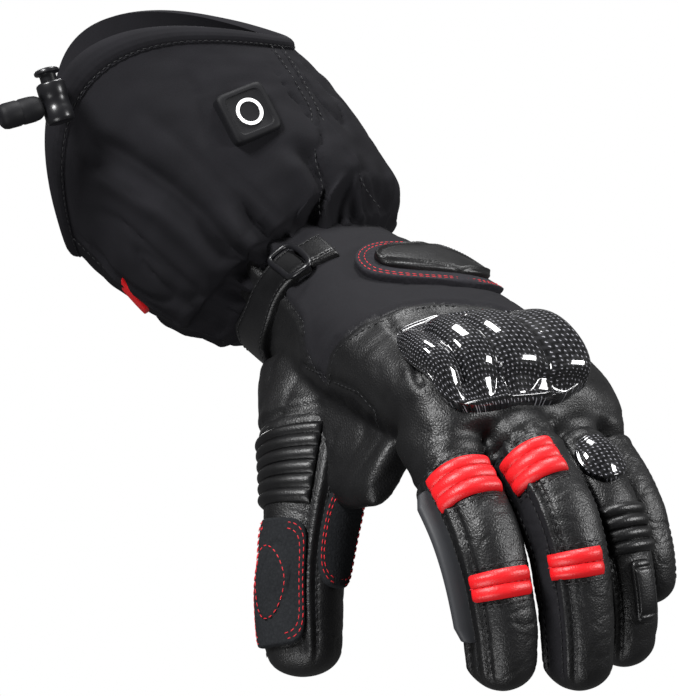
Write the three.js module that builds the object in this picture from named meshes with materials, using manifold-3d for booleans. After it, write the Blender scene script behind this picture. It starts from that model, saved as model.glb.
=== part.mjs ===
// Heated winter riding glove for the left hand, in the shape that it has on a hand with relaxed fingers.
// Millimetres. The origin is the middle of the wrist under the strap, +Z runs up the forearm and out of the cuff,
// -Y is the back of the hand and -X is the thumb's side, so the fingers hang towards -Z.
import * as THREE from "three";
import { mergeVertices } from "three/addons/utils/BufferGeometryUtils.js";
import Module from "manifold-3d";

const wasm = await Module();
wasm.setup();

// Driving dimensions
const GAP = 0.35; // clearance between pieces that touch
const HAND_WALL = 3; // insulated leather of the palm and back
const FINGER_WALL = 2.6;
const CUFF_WALL = 2.4;
const CUFF_START = 12; // height of the cuff's sewn end
const CUFF_RISE = 119; // from there to the middle of the mouth
const CUFF_LEAN_BACK = 55; // how far the mouth leans to the back of the hand
const CUFF_LEAN_SIDE = 66; // and to the thumb's side
const MOUTH_HALF_WIDTH = 63;
const MOUTH_HALF_DEPTH = 44;
const SEAM_CUT = 56; // how far the mouth is cut back at its two side seams
const BACK_CUT = 18; // and how much further back it is on the back of the hand than on the palm side
const WRIST_HALF_WIDTH = 47;
const WRIST_HALF_DEPTH = 37;
const HEM_WIDTH = 13;
const HEM_SWELL = 2.2; // how far the hem's drawcord tunnel stands out
const FINGER_HALF_WIDTH = 12.3;
const FINGER_HALF_DEPTH = 12.9;
const THUMB_HALF_WIDTH = 14.5;
const THUMB_HALF_DEPTH = 15.5;
const PALM_HALF_WIDTH = 50;
const PALM_HALF_DEPTH = 21;
const FINGER_CUT = 22; // from a knuckle's middle to the seam where its finger starts
const THUMB_CUT = 30;
const STRAP_WIDTH = 24;
const STRAP_THICKNESS = 2.6;
const BUTTON_SIDE = 21.5;
const BUTTON_HEIGHT = 4.6;
const BUTTON_BEVEL = 0.8;
const GUARD_THICKNESS = 3.6;
const GUARD_DOME = 7.5; // height of the knuckle guard's four domes
const PANEL_THICKNESS = 2.2;
const PADDING = 3; // height of the sewn pads and ribs
const WIPER_LENGTH = 54;
const WIPER_HEIGHT = 9;
const WIPER_THICKNESS = 3.2;
const CORD_DIAMETER = 3;
const CORD_SHOWN = 10; // at most, from the lock to the hem
const LOCK_RADIUS = 5.6;
const LOCK_LENGTH = 16;
const PLUNGER_TRAVEL = 3;
const PULL_RADIUS = 5;
const PULL_LENGTH = 17;

// Joints of the hand, from the knuckle or the thumb's root out to the tip. x, y and z are in millimetres.
const FINGERS = {
  index: { width: 1, joints: [[-46.5, -40.5, -114], [-54.5, -33.8, -158.3], [-58.4, -19.2, -181.1], [-61, 0.3, -197.5]] },
  middle: { width: 1.02, joints: [[-21.5, -46, -119.8], [-29.2, -41, -168.1], [-33.2, -21.8, -192.2], [-36.2, -0.5, -208]] },
  ring: { width: 0.96, joints: [[3.5, -41.5, -119.2], [-3.5, -35, -164.8], [-7.3, -18.5, -189.7], [-10, 3, -204]] },
  little: { width: 0.86, joints: [[22, -31, -116], [21.5, -27.5, -152.5], [19.5, -17, -173], [17, -2, -188.5]] },
};
const THUMB_JOINTS = [[-26, -2, -40], [-55, 17, -80], [-71, 38, -106], [-82, 56, -132]];
const PALM_ACROSS = [0.988, 0.153, 0];
const THUMB_ACROSS = [0.55, 0.62, -0.1];

// Palm sections. along is the share of the way from the wrist to the crotches, x and y place the middle, width and
// depth are shares of PALM_HALF_WIDTH and PALM_HALF_DEPTH.
const PALM_DROP = 134;
const PALM_SECTIONS = [
  { along: -0.1, x: 1, y: -1, width: 0.79, depth: 1.5 },
  { along: 0.0, x: 2, y: -2.5, width: 0.8, depth: 1.5 },
  { along: 0.14, x: 2, y: -7.5, width: 0.84, depth: 1.55 },
  { along: 0.36, x: -1, y: -17.5, width: 0.93, depth: 1.42 },
  { along: 0.6, x: -6, y: -31, width: 0.98, depth: 1.2 },
  { along: 0.84, x: -9, y: -40.5, width: 0.98, depth: 1.02 },
  { along: 0.94, x: -12, y: -41, width: 0.93, depth: 0.84 },
  { along: 1.0, x: -13, y: -41.5, width: 0.88, depth: 0.62 },
];
// Web of leather between the thumb and the index finger
const WEB_ACROSS = [0.18, -0.85, -0.5];
const WEB_SECTIONS = [
  { at: [-18, -6, -34], width: 30, depth: 19 },
  { at: [-37, -5, -64], width: 33, depth: 15 },
  { at: [-46, -6, -84], width: 26, depth: 10.5 },
  { at: [-49, -10, -96], width: 21, depth: 7.5 },
  { at: [-52, -20, -111], width: 15, depth: 6 },
];
// Cuff sections from the mouth down to the wrist. along is the share of the cuff's line, flare the share of the way
// from wrist size to mouth size, bag how far the cloth bags out and gather how deep its gathers are, both as
// shares of the wrist's half width.
const CUFF_SECTIONS = [
  { along: 0, flare: 1, bag: 0, gather: 0 },
  { along: 0.3, flare: 0.88, bag: 0.05, gather: 0.01 },
  { along: 0.55, flare: 0.62, bag: 0.14, gather: 0.015 },
  { along: 0.75, flare: 0.35, bag: 0.17, gather: 0.025 },
  { along: 0.9, flare: 0.15, bag: 0.12, gather: 0.035 },
  { along: 1, flare: 0, bag: -0.03, gather: 0.03 },
];
// The cuff's middle line: shares of its rise and of its leans to the side and to the back
const CUFF_LINE = [
  { up: 1, side: 1, back: 1 },
  { up: 0.72, side: 0.66, back: 0.71 },
  { up: 0.4, side: 0.28, back: 0.36 },
  { up: 0.15, side: 0.02, back: 0.12 },
  { up: 0, side: -0.04, back: 0.03 },
];
const CUFF_ACROSS = [0.79, -0.545, 0.27];
const CUFF_GATHERS = 9;
const SEAM_TURN = 0.3; // the side seams' angle round the cuff

const TAU = Math.PI * 2;
const vec = (p) => new THREE.Vector3(...p);
const lerp = (a, b, t) => a + (b - a) * t;

const MATERIALS = {
  softshell: new THREE.MeshStandardMaterial({ color: 0x232227, roughness: 0.85, metalness: 0 }),
  leather: new THREE.MeshStandardMaterial({ color: 0x1a1a1a, roughness: 0.45, metalness: 0 }),
  redLeather: new THREE.MeshStandardMaterial({ color: 0xe8141a, roughness: 0.4, metalness: 0 }),
  suede: new THREE.MeshStandardMaterial({ color: 0x1c2123, roughness: 0.9, metalness: 0 }),
  carbon: new THREE.MeshStandardMaterial({ color: 0x15151a, roughness: 0.12, metalness: 0.2 }),
  rubber: new THREE.MeshStandardMaterial({ color: 0x2b2c2e, roughness: 0.6, metalness: 0 }),
  plastic: new THREE.MeshStandardMaterial({ color: 0x26282a, roughness: 0.4, metalness: 0 }),
};

// A closed mesh through rings of points, all with as many points, closed by a fan at each end.
function skin(rings) {
  const sides = rings[0].length;
  const positions = [];
  const index = [];
  rings.forEach((ring) => ring.forEach((p) => positions.push(p.x, p.y, p.z)));
  for (let i = 0; i + 1 < rings.length; i++) {
    for (let j = 0; j < sides; j++) {
      const a = i * sides + j;
      const b = i * sides + ((j + 1) % sides);
      index.push(a, a + sides, b, b, a + sides, b + sides);
    }
  }
  const middle = (ring) => ring.reduce((sum, p) => sum.add(p), new THREE.Vector3()).divideScalar(sides);
  const ends = [[rings[0], 0, false], [rings.at(-1), (rings.length - 1) * sides, true]];
  for (const [ring, start, far] of ends) {
    const hub = positions.length / 3;
    const m = middle(ring);
    positions.push(m.x, m.y, m.z);
    for (let j = 0; j < sides; j++) {
      const a = start + j;
      const b = start + ((j + 1) % sides);
      index.push(...(far ? [a, hub, b] : [a, b, hub]));
    }
  }
  const geometry = new THREE.BufferGeometry();
  geometry.setAttribute("position", new THREE.Float32BufferAttribute(positions, 3));
  geometry.setIndex(index);
  return geometry;
}

// A geometry as a manifold solid, turned to face outwards.
function solid(geometry) {
  const bare = geometry.clone();
  bare.deleteAttribute("normal");
  bare.deleteAttribute("uv");
  const merged = mergeVertices(bare, 1e-4);
  const vertProperties = merged.attributes.position.array;
  const build = (triVerts) => new wasm.Manifold(new wasm.Mesh({ numProp: 3, vertProperties, triVerts }));
  const triVerts = new Uint32Array(merged.index.array);
  const made = build(triVerts);
  return made.volume() < 0 ? build(triVerts.slice().reverse()) : made;
}

function toGeometry(shape) {
  const mesh = shape.getMesh();
  const geometry = new THREE.BufferGeometry();
  geometry.setAttribute("position", new THREE.BufferAttribute(new Float32Array(mesh.vertProperties), 3));
  geometry.setIndex(new THREE.BufferAttribute(new Uint32Array(mesh.triVerts), 1));
  const flat = geometry.toNonIndexed();
  flat.computeVertexNormals();
  return flat;
}

const group = new THREE.Group();
function add(name, shape, material) {
  const mesh = new THREE.Mesh(toGeometry(shape), material);
  mesh.name = name;
  group.add(mesh);
}

// A tube round a smooth line. halfSize(t) gives its half width and half depth at the share t of its length, and
// across is the direction of its width.
class Tube {
  constructor(points, across, halfSize, power = 2.3) {
    this.curve = new THREE.CatmullRomCurve3(points.map(vec), false, "centripetal");
    this.across = vec(across);
    this.halfSize = halfSize;
    this.power = power;
    this.length = this.curve.getLength();
  }

  frame(t) {
    const clamped = Math.min(1, Math.max(0, t));
    const centre = this.curve.getPointAt(clamped);
    const along = this.curve.getTangentAt(clamped);
    centre.addScaledVector(along, (t - clamped) * this.length);
    const x = this.across.clone().addScaledVector(along, -this.across.dot(along)).normalize();
    const y = new THREE.Vector3().crossVectors(x, along).negate();
    return { centre, along, x, y };
  }

  // The point at angle u, from the +across side towards +y, at the share t, that much outside the surface
  point(u, t, out = 0) {
    const { centre, x, y } = this.frame(t);
    const [a, b] = this.halfSize(t, u);
    const c = Math.cos(u);
    const s = Math.sin(u);
    const e = 2 / this.power;
    const px = Math.sign(c) * Math.abs(c) ** e * Math.max(a + out, 0.05);
    const py = Math.sign(s) * Math.abs(s) ** e * Math.max(b + out, 0.05);
    return centre.clone().addScaledVector(x, px).addScaledVector(y, py);
  }

  ring(t, sides, out = 0) {
    return Array.from({ length: sides }, (_, j) => this.point((j / sides) * TAU, t, out));
  }

  solid(from, to, steps, sides, out = 0) {
    return solid(skin(Array.from({ length: steps + 1 }, (_, i) => this.ring(lerp(from, to, i / steps), sides, out))));
  }
}

// A digit's half size, which follows shares along it and rounds off over the last stretch to the tip
const TIP_LENGTH = 11;
function rounded(length, halfWidth, halfDepth, widthShares, depthShares, inset = 0) {
  const steps = widthShares.length - 1;
  return (t) => {
    const k = Math.min(0.9999, Math.max(0, t)) * steps;
    const i = Math.floor(k);
    const at = (shares) => lerp(shares[i], shares[i + 1], k - i);
    const into = Math.max(0, (t * length - (length - inset - TIP_LENGTH)) / TIP_LENGTH);
    const cap = Math.sqrt(Math.max(0, 1 - Math.min(1, into) ** 2.4));
    return [(halfWidth * at(widthShares) - inset) * cap, (halfDepth * at(depthShares) - inset) * cap];
  };
}

// Digits: hollow tubes that are open where the hand goes in
const DIGIT_SIDES = 12;
const DIGIT_SHARES = [0.98, 1.0, 1.0, 1.0, 0.99, 0.96, 0.92, 0.88, 0.82];
const THUMB_WIDTH_SHARES = [1.3, 1.25, 1.17, 1.1, 1.03, 0.98, 0.95, 0.9, 0.82];
const THUMB_DEPTH_SHARES = [1.85, 1.75, 1.55, 1.32, 1.14, 1.04, 0.98, 0.94, 0.86];

function digit(joints, across, halfWidth, halfDepth, shares, depthShares = shares) {
  const length = new Tube(joints, across, null).length;
  const make = (inset) => new Tube(joints, across, rounded(length, halfWidth, halfDepth, shares, depthShares, inset), 2.25);
  return { outer: make(0), inner: make(FINGER_WALL), length };
}

const digits = {};
for (const [name, { width, joints }] of Object.entries(FINGERS)) {
  const made = digit(joints, PALM_ACROSS, FINGER_HALF_WIDTH * width, FINGER_HALF_DEPTH * width, DIGIT_SHARES);
  digits[name] = { ...made, start: FINGER_CUT / made.length };
}
const thumbTube = digit(THUMB_JOINTS, THUMB_ACROSS, THUMB_HALF_WIDTH, THUMB_HALF_DEPTH, THUMB_WIDTH_SHARES, THUMB_DEPTH_SHARES);
digits.thumb = { ...thumbTube, start: THUMB_CUT / thumbTube.length };

// Shares of a digit's length where its sections lie, close together round the tip
function stations(from, to, length) {
  const straight = Array.from({ length: 6 }, (_, i) => lerp(from, to - TIP_LENGTH / length, i / 5));
  const tip = [0.45, 0.75, 0.93, 0.995].map((k) => to - (TIP_LENGTH / length) * (1 - k));
  return [...straight, ...tip];
}

for (const [name, { outer, inner, start, length }] of Object.entries(digits)) {
  const whole = solid(skin(stations(start, 1, length).map((t) => outer.ring(t, DIGIT_SIDES))));
  const innerEnd = 1 - FINGER_WALL / length;
  const hollow = solid(skin(stations(start - 2 / length, innerEnd, length).map((t) => inner.ring(t, DIGIT_SIDES))));
  add(name === "thumb" ? "thumb" : name + "_finger", whole.subtract(hollow), MATERIALS.leather);
}

// Palm and back of the hand, in one hollow shell with the digits' stubs
function palmTube(inset) {
  const line = PALM_SECTIONS.map((s) => [s.x, s.y, -s.along * PALM_DROP]);
  const tube = new Tube(line, PALM_ACROSS, null, 2.5);
  const shares = PALM_SECTIONS.map((s, i) => {
    const part = new THREE.CatmullRomCurve3(line.slice(0, i + 1).map(vec), false, "centripetal");
    return i ? part.getLength() / tube.length : 0;
  });
  tube.halfSize = (t) => {
    let i = 0;
    while (i + 2 < shares.length && t > shares[i + 1]) i++;
    const k = Math.min(1, Math.max(0, (t - shares[i]) / (shares[i + 1] - shares[i])));
    const [p, q] = [PALM_SECTIONS[i], PALM_SECTIONS[i + 1]];
    return [
      PALM_HALF_WIDTH * lerp(p.width, q.width, k) - inset,
      PALM_HALF_DEPTH * lerp(p.depth, q.depth, k) - inset,
    ];
  };
  return tube;
}

function webSolid(inset) {
  const n = WEB_SECTIONS.length - 1;
  const tube = new Tube(WEB_SECTIONS.map((s) => s.at), WEB_ACROSS, null);
  tube.halfSize = (t) => {
    const k = Math.min(0.9999, Math.max(0, t)) * n;
    const i = Math.floor(k);
    const row = (key) => lerp(WEB_SECTIONS[i][key], WEB_SECTIONS[i + 1][key], k - i) - inset;
    return [row("width"), row("depth")];
  };
  return tube.solid(0, 1 - inset / tube.length, 4, 12);
}

const palm = palmTube(0);
const PALM_SIDES = 24;
function handSolid(inset, grow = 0) {
  const tube = palmTube(inset - grow);
  const mouth = inset ? -0.03 : 0;
  let made = tube.solid(mouth, 1 - inset / tube.length, 9, PALM_SIDES).add(webSolid(inset - grow));
  for (const { outer, inner, start, length } of Object.values(digits)) {
    const end = inset ? start + 3 / length : start - GAP / length;
    made = made.add((inset ? inner : outer).solid(0, end, 2, DIGIT_SIDES, grow));
  }
  return made;
}
// The room that each digit takes beyond its seam, with clearance round it
const digitRoom = ({ outer, start, length }, by = GAP) => {
  const from = start - GAP / length;
  return solid(skin(stations(from, 1 + by / length, length).map((t) => outer.ring(t, DIGIT_SIDES, by))));
};
let handShell = handSolid(0).subtract(handSolid(HAND_WALL));
for (const made of Object.values(digits)) handShell = handShell.subtract(digitRoom(made));
add("hand_shell", handShell, MATERIALS.leather);

// Gauntlet cuff, gathered at the wrist and flared to its mouth
const CUFF_SIDES = 26;
const CUFF_STEPS = 8;
const cuffLine = CUFF_LINE.map(({ up, side, back }) => [
  -CUFF_LEAN_SIDE * side,
  -CUFF_LEAN_BACK * back,
  CUFF_START + CUFF_RISE * up,
]);
function cuffHalf(share, u) {
  let i = 0;
  while (i + 2 < CUFF_SECTIONS.length && share > CUFF_SECTIONS[i + 1].along) i++;
  const [p, q] = [CUFF_SECTIONS[i], CUFF_SECTIONS[i + 1]];
  const k = (share - p.along) / (q.along - p.along);
  const row = (key) => lerp(p[key], q[key], k);
  const gather = row("gather") * Math.cos(CUFF_GATHERS * u + 2 * share) + row("bag");
  const more = gather * WRIST_HALF_WIDTH;
  const flare = row("flare");
  return [
    lerp(WRIST_HALF_WIDTH, MOUTH_HALF_WIDTH, flare) + more,
    lerp(WRIST_HALF_DEPTH, MOUTH_HALF_DEPTH, flare) + more,
  ];
}
// The cuff's tube, whose shares start further down where the mouth is cut back
class CuffTube extends Tube {
  point(u, t, out = 0) {
    const cut = (SEAM_CUT * Math.cos(u - SEAM_TURN) ** 2 + BACK_CUT * (0.5 + 0.5 * Math.sin(u))) / this.length;
    return super.point(u, t + cut * (1 - t), out);
  }
}
const cuff = new CuffTube(cuffLine, CUFF_ACROSS, cuffHalf, 2);
const hemEnd = HEM_WIDTH / cuff.length;
const REACH = 1 / cuff.length; // how far a hollow runs past its ends
const cuffHollow = cuff.solid(-REACH, 1 + REACH, CUFF_STEPS + 1, CUFF_SIDES, -CUFF_WALL);
const sleeveRoom = palm.solid(-REACH, 0.3, 3, PALM_SIDES, GAP);
const cuffBody = cuff.solid(hemEnd + GAP / cuff.length, 1, CUFF_STEPS, CUFF_SIDES);
add("gauntlet_cuff", cuffBody.subtract(cuffHollow).subtract(sleeveRoom), MATERIALS.softshell);

// Hem with the drawcord's tunnel: its section swells in the middle
const HEM_PROFILE = [
  { along: 0, swell: 0 },
  { along: 0.25, swell: 0.85 },
  { along: 0.7, swell: 0.9 },
  { along: 1, swell: 0 },
];
const hemRings = HEM_PROFILE.map(({ along, swell }) => cuff.ring(hemEnd * along, CUFF_SIDES, swell * HEM_SWELL));
add("cuff_hem", solid(skin(hemRings)).subtract(cuffHollow), MATERIALS.softshell);

// A closed panel that lies on a surface. at(x, y, out) gives a point for x and y from -1 to 1, edge(y) the panel's
// sides there, and height(x, y) how thick it is. Its underside lies SUNK in the surface, to be cut back from it.
const SUNK = 0.8;
function panel(at, columns, rows, thick, edge = () => [-1, 1], height = () => 1) {
  const point = (i, j, top) => {
    const y = Math.sin(((j / rows) * 2 - 1) * (Math.PI / 2)) * 0.985;
    const [low, high] = edge(y);
    const x = lerp(low, high, i / columns);
    const k = (i / columns) * 2 - 1;
    return at(x, y, top ? GAP + thick * height(k, y, x) : -SUNK);
  };
  const positions = [];
  const index = [];
  const id = (i, j, top) => (top ? 0 : (columns + 1) * (rows + 1)) + j * (columns + 1) + i;
  for (const top of [true, false]) {
    for (let j = 0; j <= rows; j++) {
      for (let i = 0; i <= columns; i++) positions.push(...point(i, j, top).toArray());
    }
  }
  const quad = (a, b, c, d) => index.push(a, b, c, a, c, d);
  for (let j = 0; j < rows; j++) {
    for (let i = 0; i < columns; i++) {
      quad(id(i, j, true), id(i + 1, j, true), id(i + 1, j + 1, true), id(i, j + 1, true));
      quad(id(i, j, false), id(i, j + 1, false), id(i + 1, j + 1, false), id(i + 1, j, false));
    }
    quad(id(0, j, true), id(0, j + 1, true), id(0, j + 1, false), id(0, j, false));
    quad(id(columns, j, false), id(columns, j + 1, false), id(columns, j + 1, true), id(columns, j, true));
  }
  for (let i = 0; i < columns; i++) {
    quad(id(i, 0, true), id(i, 0, false), id(i + 1, 0, false), id(i + 1, 0, true));
    quad(id(i, rows, false), id(i, rows, true), id(i + 1, rows, true), id(i + 1, rows, false));
  }
  const geometry = new THREE.BufferGeometry();
  geometry.setAttribute("position", new THREE.Float32BufferAttribute(positions, 3));
  geometry.setIndex(index);
  return solid(geometry);
}

const softCorners = (power) => (y) => {
  const w = (1 - Math.abs(y) ** power) ** (1 / power);
  return [-w, w];
};
const crowned = (x, y) => 0.45 + 0.55 * (1 - Math.abs(x) ** 4) * (1 - Math.abs(y) ** 4);

// A place on a tube: middle angle and share, half angle and half length in millimetres
const onTube = (tube, u, share, halfAngle, halfLength) => (x, y, out) =>
  tube.point(u + x * halfAngle, share + (y * halfLength) / tube.length, out);

const BACK = Math.PI / 2; // the angle of the back of the hand on every section

// What lies on a digit or on the hand is cut back to a clearance from it
const CLEAR = GAP;
const handRoom = handSolid(0, CLEAR);
const addOnDigit = (name, digitName, shape, material) =>
  add(name, shape.subtract(digitRoom(digits[digitName], CLEAR)).subtract(handRoom), material);
const addOnHand = (name, shape, material) => add(name, shape.subtract(handRoom), material);

// Red padded bars across the index and middle fingers, sewn into ribs. from and length are in millimetres along the
// finger, angle and half are in radians round it.
const BARS = [
  { name: "index_bar_upper", finger: "index", from: 24.5, length: 13.5, angle: 2.2, half: 0.95, ribs: 3 },
  { name: "index_bar_lower", finger: "index", from: 60, length: 8.5, angle: 2.16, half: 0.88, ribs: 2 },
  { name: "middle_bar_upper", finger: "middle", from: 26, length: 13.5, angle: 2.4, half: 0.8, ribs: 3 },
  { name: "middle_bar_lower", finger: "middle", from: 61, length: 8, angle: 2.28, half: 0.75, ribs: 2 },
];
const ribbed = (ribs) => (x, y) => 0.6 + 0.4 * Math.abs(Math.sin((ribs * Math.PI * (y + 1)) / 2));
for (const { name, finger, from, length, angle, half, ribs } of BARS) {
  const { outer } = digits[finger];
  const at = onTube(outer, angle, (from + length / 2) / outer.length, half, length / 2);
  addOnDigit(name, finger, panel(at, 7, ribs * 3, PADDING * 0.85, undefined, ribbed(ribs)), MATERIALS.redLeather);
}

// Ribbed stretch panels over the joints of the thumb and the ring finger
function accordion(name, digitName, u, from, length, ribs, halfAngle) {
  const { outer, length: whole } = digits[digitName];
  const at = onTube(outer, u, (from + length / 2) / whole, halfAngle, length / 2);
  addOnDigit(name, digitName, panel(at, 6, ribs * 3, PADDING, undefined, ribbed(ribs)), MATERIALS.leather);
}
const THUMB_BACK = 3.65; // the angle of the thumb's worn outer side
accordion("thumb_accordion", "thumb", THUMB_BACK, THUMB_CUT + 5, 28, 6, 0.85);
accordion("ring_accordion", "ring", BACK + 0.2, 50, 15, 4, 0.8);

// Hard and embossed pieces of the ring finger
const ringOuter = digits.ring.outer;
const leaf = softCorners(2);
addOnDigit(
  "ring_guard", "ring",
  panel(onTube(ringOuter, BACK + 0.25, 35 / ringOuter.length, 0.72, 8.5), 6, 6, PADDING * 1.4, leaf, crowned),
  MATERIALS.carbon,
);
addOnDigit(
  "ring_slider", "ring",
  panel(onTube(ringOuter, BACK + 0.2, 76 / ringOuter.length, 0.36, 9), 3, 5, PADDING * 0.7, softCorners(4), crowned),
  MATERIALS.leather,
);

// Wear patches on the thumb
const thumbOuter = digits.thumb.outer;
const patchEdge = (y) => {
  const w = (1 - Math.abs(y) ** 5) ** 0.2;
  return [-w, w * (0.72 + 0.28 * Math.min(1, Math.max(-1, y * 3)))];
};
addOnDigit(
  "thumb_patch", "thumb",
  panel(onTube(thumbOuter, THUMB_BACK - 0.1, 91 / thumbOuter.length, 0.85, 22.5), 7, 6, PANEL_THICKNESS, patchEdge),
  MATERIALS.suede,
);

// Hard knuckle guard: one moulding with a dome over each knuckle
const KNUCKLE_ANGLES = [2.36, 2.05, 1.74, 1.45]; // from the index finger to the little finger
const GUARD_SHARE = 0.86;
const GUARD_HALF_LENGTH = 20;
const GUARD_HALF_ANGLE = 0.68;
const GUARD_MIDDLE = (KNUCKLE_ANGLES[0] + KNUCKLE_ANGLES[3]) / 2;
function guardHeight(x, y) {
  const u = GUARD_MIDDLE + x * GUARD_HALF_ANGLE;
  const dome = KNUCKLE_ANGLES.map((k) => Math.max(0, 1 - ((u - k) / 0.23) ** 2) * (1 - Math.abs(y) ** 2.2));
  return (GUARD_THICKNESS + GUARD_DOME * Math.max(...dome) ** 0.7) / GUARD_THICKNESS;
}
const guardAt = (x, y, out) =>
  palm.point(GUARD_MIDDLE + x * GUARD_HALF_ANGLE, GUARD_SHARE + (y * GUARD_HALF_LENGTH) / palm.length, out);
addOnHand(
  "knuckle_guard",
  panel(guardAt, 16, 6, GUARD_THICKNESS, softCorners(3.4), (k, y, x) => guardHeight(x, y)),
  MATERIALS.carbon,
);

// Softshell armour patch on the back of the wrist, with a smooth raised pad
const ARMOUR_ANGLE = 1.38;
const ARMOUR_SHARE = 0.41;
const armourEdge = (y) => {
  const w = (1 - Math.abs(y) ** 2.2) ** 0.45;
  return [-w, w];
};
const armourAt = (halfAngle, halfLength, lift) => (x, y, out) =>
  palm.point(ARMOUR_ANGLE + x * halfAngle, ARMOUR_SHARE + (y * halfLength) / palm.length, out + lift);
addOnHand("wrist_armour", panel(armourAt(0.66, 21, 0), 7, 5, PANEL_THICKNESS, armourEdge), MATERIALS.suede);
const armourRoom = panel(armourAt(0.6, 18, 0), 7, 5, PANEL_THICKNESS + GAP, armourEdge);
const padBlock = panel(armourAt(0.48, 13, PANEL_THICKNESS + GAP), 7, 5, PADDING * 1.6, armourEdge, crowned);
addOnHand("wrist_pad", padBlock.subtract(armourRoom), MATERIALS.leather);

// Power button: a square rubber plate on the cuff
const BUTTON_ANGLE = 1.38;
const BUTTON_SHARE = 0.43;
function buttonBlock(side, low, high) {
  const [corner, faceIn] = [side / 2, BUTTON_BEVEL];
  const { along } = cuff.frame(BUTTON_SHARE);
  const seat = cuff.point(BUTTON_ANGLE, BUTTON_SHARE);
  const acrossSeat = cuff.point(BUTTON_ANGLE + 0.02, BUTTON_SHARE).sub(cuff.point(BUTTON_ANGLE - 0.02, BUTTON_SHARE));
  const x = acrossSeat.normalize();
  const out = new THREE.Vector3().crossVectors(x, along).normalize();
  if (out.dot(seat.clone().sub(cuff.frame(BUTTON_SHARE).centre)) < 0) out.negate();
  const y = new THREE.Vector3().crossVectors(out, x);
  const rings = [[low, corner], [high - faceIn, corner], [high, corner - faceIn]].map(([h, r]) =>
    [[1, 1], [-1, 1], [-1, -1], [1, -1]].flatMap(([sx, sy]) => {
      const bend = r * 0.16;
      const pairs = sx * sy > 0 ? [[0, bend], [bend, 0]] : [[bend, 0], [0, bend]];
      return pairs.map(([dx, dy]) =>
        seat.clone().addScaledVector(x, sx * (r - dx)).addScaledVector(y, sy * (r - dy)).addScaledVector(out, h));
    }));
  return solid(skin(rings));
}
const cuffClear = cuff.solid(hemEnd, 1, CUFF_STEPS, CUFF_SIDES, GAP);
add("power_button", buttonBlock(BUTTON_SIDE, -3, BUTTON_HEIGHT).subtract(cuffClear), MATERIALS.rubber);

// Wrist strap, its stitched anchor and the flat ring that it runs through
const STRAP_FROM = 2.45;
const STRAP_TO = 5.6;
const STRAP_DROP = 36; // from the top of the hand shell down to the strap's middle at its anchor
const STRAP_RISE = 20; // how much higher it lies on the palm
const strapShare = (u) => (STRAP_DROP - STRAP_RISE * Math.min(1, Math.max(0, (u - 2.3) / 1.25))) / palm.length;
const strapPoint = (u, y, out) => palm.point(u, strapShare(u) + y / palm.length, out);
const strapAt = (from, to, halfWidth) => (x, y, out) => strapPoint(lerp(from, to, (x + 1) / 2), y * halfWidth, out);
addOnHand(
  "wrist_strap",
  panel(strapAt(STRAP_FROM, STRAP_TO, STRAP_WIDTH / 2), 14, 2, STRAP_THICKNESS),
  MATERIALS.leather,
);
addOnHand(
  "strap_anchor",
  panel(strapAt(2.08, STRAP_FROM - 0.03, STRAP_WIDTH / 2 - 2), 3, 2, STRAP_THICKNESS),
  MATERIALS.leather,
);
const RING_ANGLE = 2.56;
const RING_HALF_ANGLE = 0.2;
const ringAt = (x, y, out) => strapPoint(RING_ANGLE + x * RING_HALF_ANGLE, y * (STRAP_WIDTH / 2 + 3), out);
const strapRoom = panel(strapAt(STRAP_FROM - 0.2, STRAP_TO, STRAP_WIDTH / 2 + GAP), 14, 2, STRAP_THICKNESS + GAP);
const ringBlock = panel(ringAt, 4, 2, STRAP_THICKNESS + 2.4);
addOnHand("strap_ring", ringBlock.subtract(strapRoom), MATERIALS.plastic);

// Rubber wiper blade along the index finger's thumb side
const WIPER_ANGLE = 3.4;
const indexOuter = digits.index.outer;
const wiperAt = (x, y, out) =>
  indexOuter.point(
    WIPER_ANGLE + (x * WIPER_THICKNESS) / 2 / FINGER_HALF_WIDTH,
    (54 + (y * WIPER_LENGTH) / 2) / indexOuter.length,
    out,
  );
addOnDigit("wiper_blade", "index", panel(wiperAt, 1, 8, WIPER_HEIGHT * 0.55), MATERIALS.rubber);

// Wear patch in the crotch between the thumb and the index finger, and one on the palm
const crotchAt = (x, y, out) =>
  thumbOuter.point(1.85 + x * 0.58, (73 + y * 20) / thumbOuter.length, out);
const crotchPatch = panel(crotchAt, 5, 5, PANEL_THICKNESS, softCorners(3));
addOnDigit("crotch_patch", "thumb", crotchPatch, MATERIALS.suede);
const heelAt = (x, y, out) => palm.point(-1.15 + x * 0.6, 0.5 + (y * 24) / palm.length, out);
const palmPatch = panel(heelAt, 7, 5, PANEL_THICKNESS, softCorners(3.5));
addOnHand("palm_patch", palmPatch.subtract(digitRoom(digits.thumb)), MATERIALS.suede);

// Red tab in the cuff's seam at the thumb side
const TAB_ANGLE = 3.05;
const tabAt = (x, y, out) => cuff.point(TAB_ANGLE + x * 0.07 + y * 0.09, 0.45 + (y * 9) / cuff.length, out);
add("cuff_tab", panel(tabAt, 2, 4, PANEL_THICKNESS).subtract(cuffClear), MATERIALS.redLeather);

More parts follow.
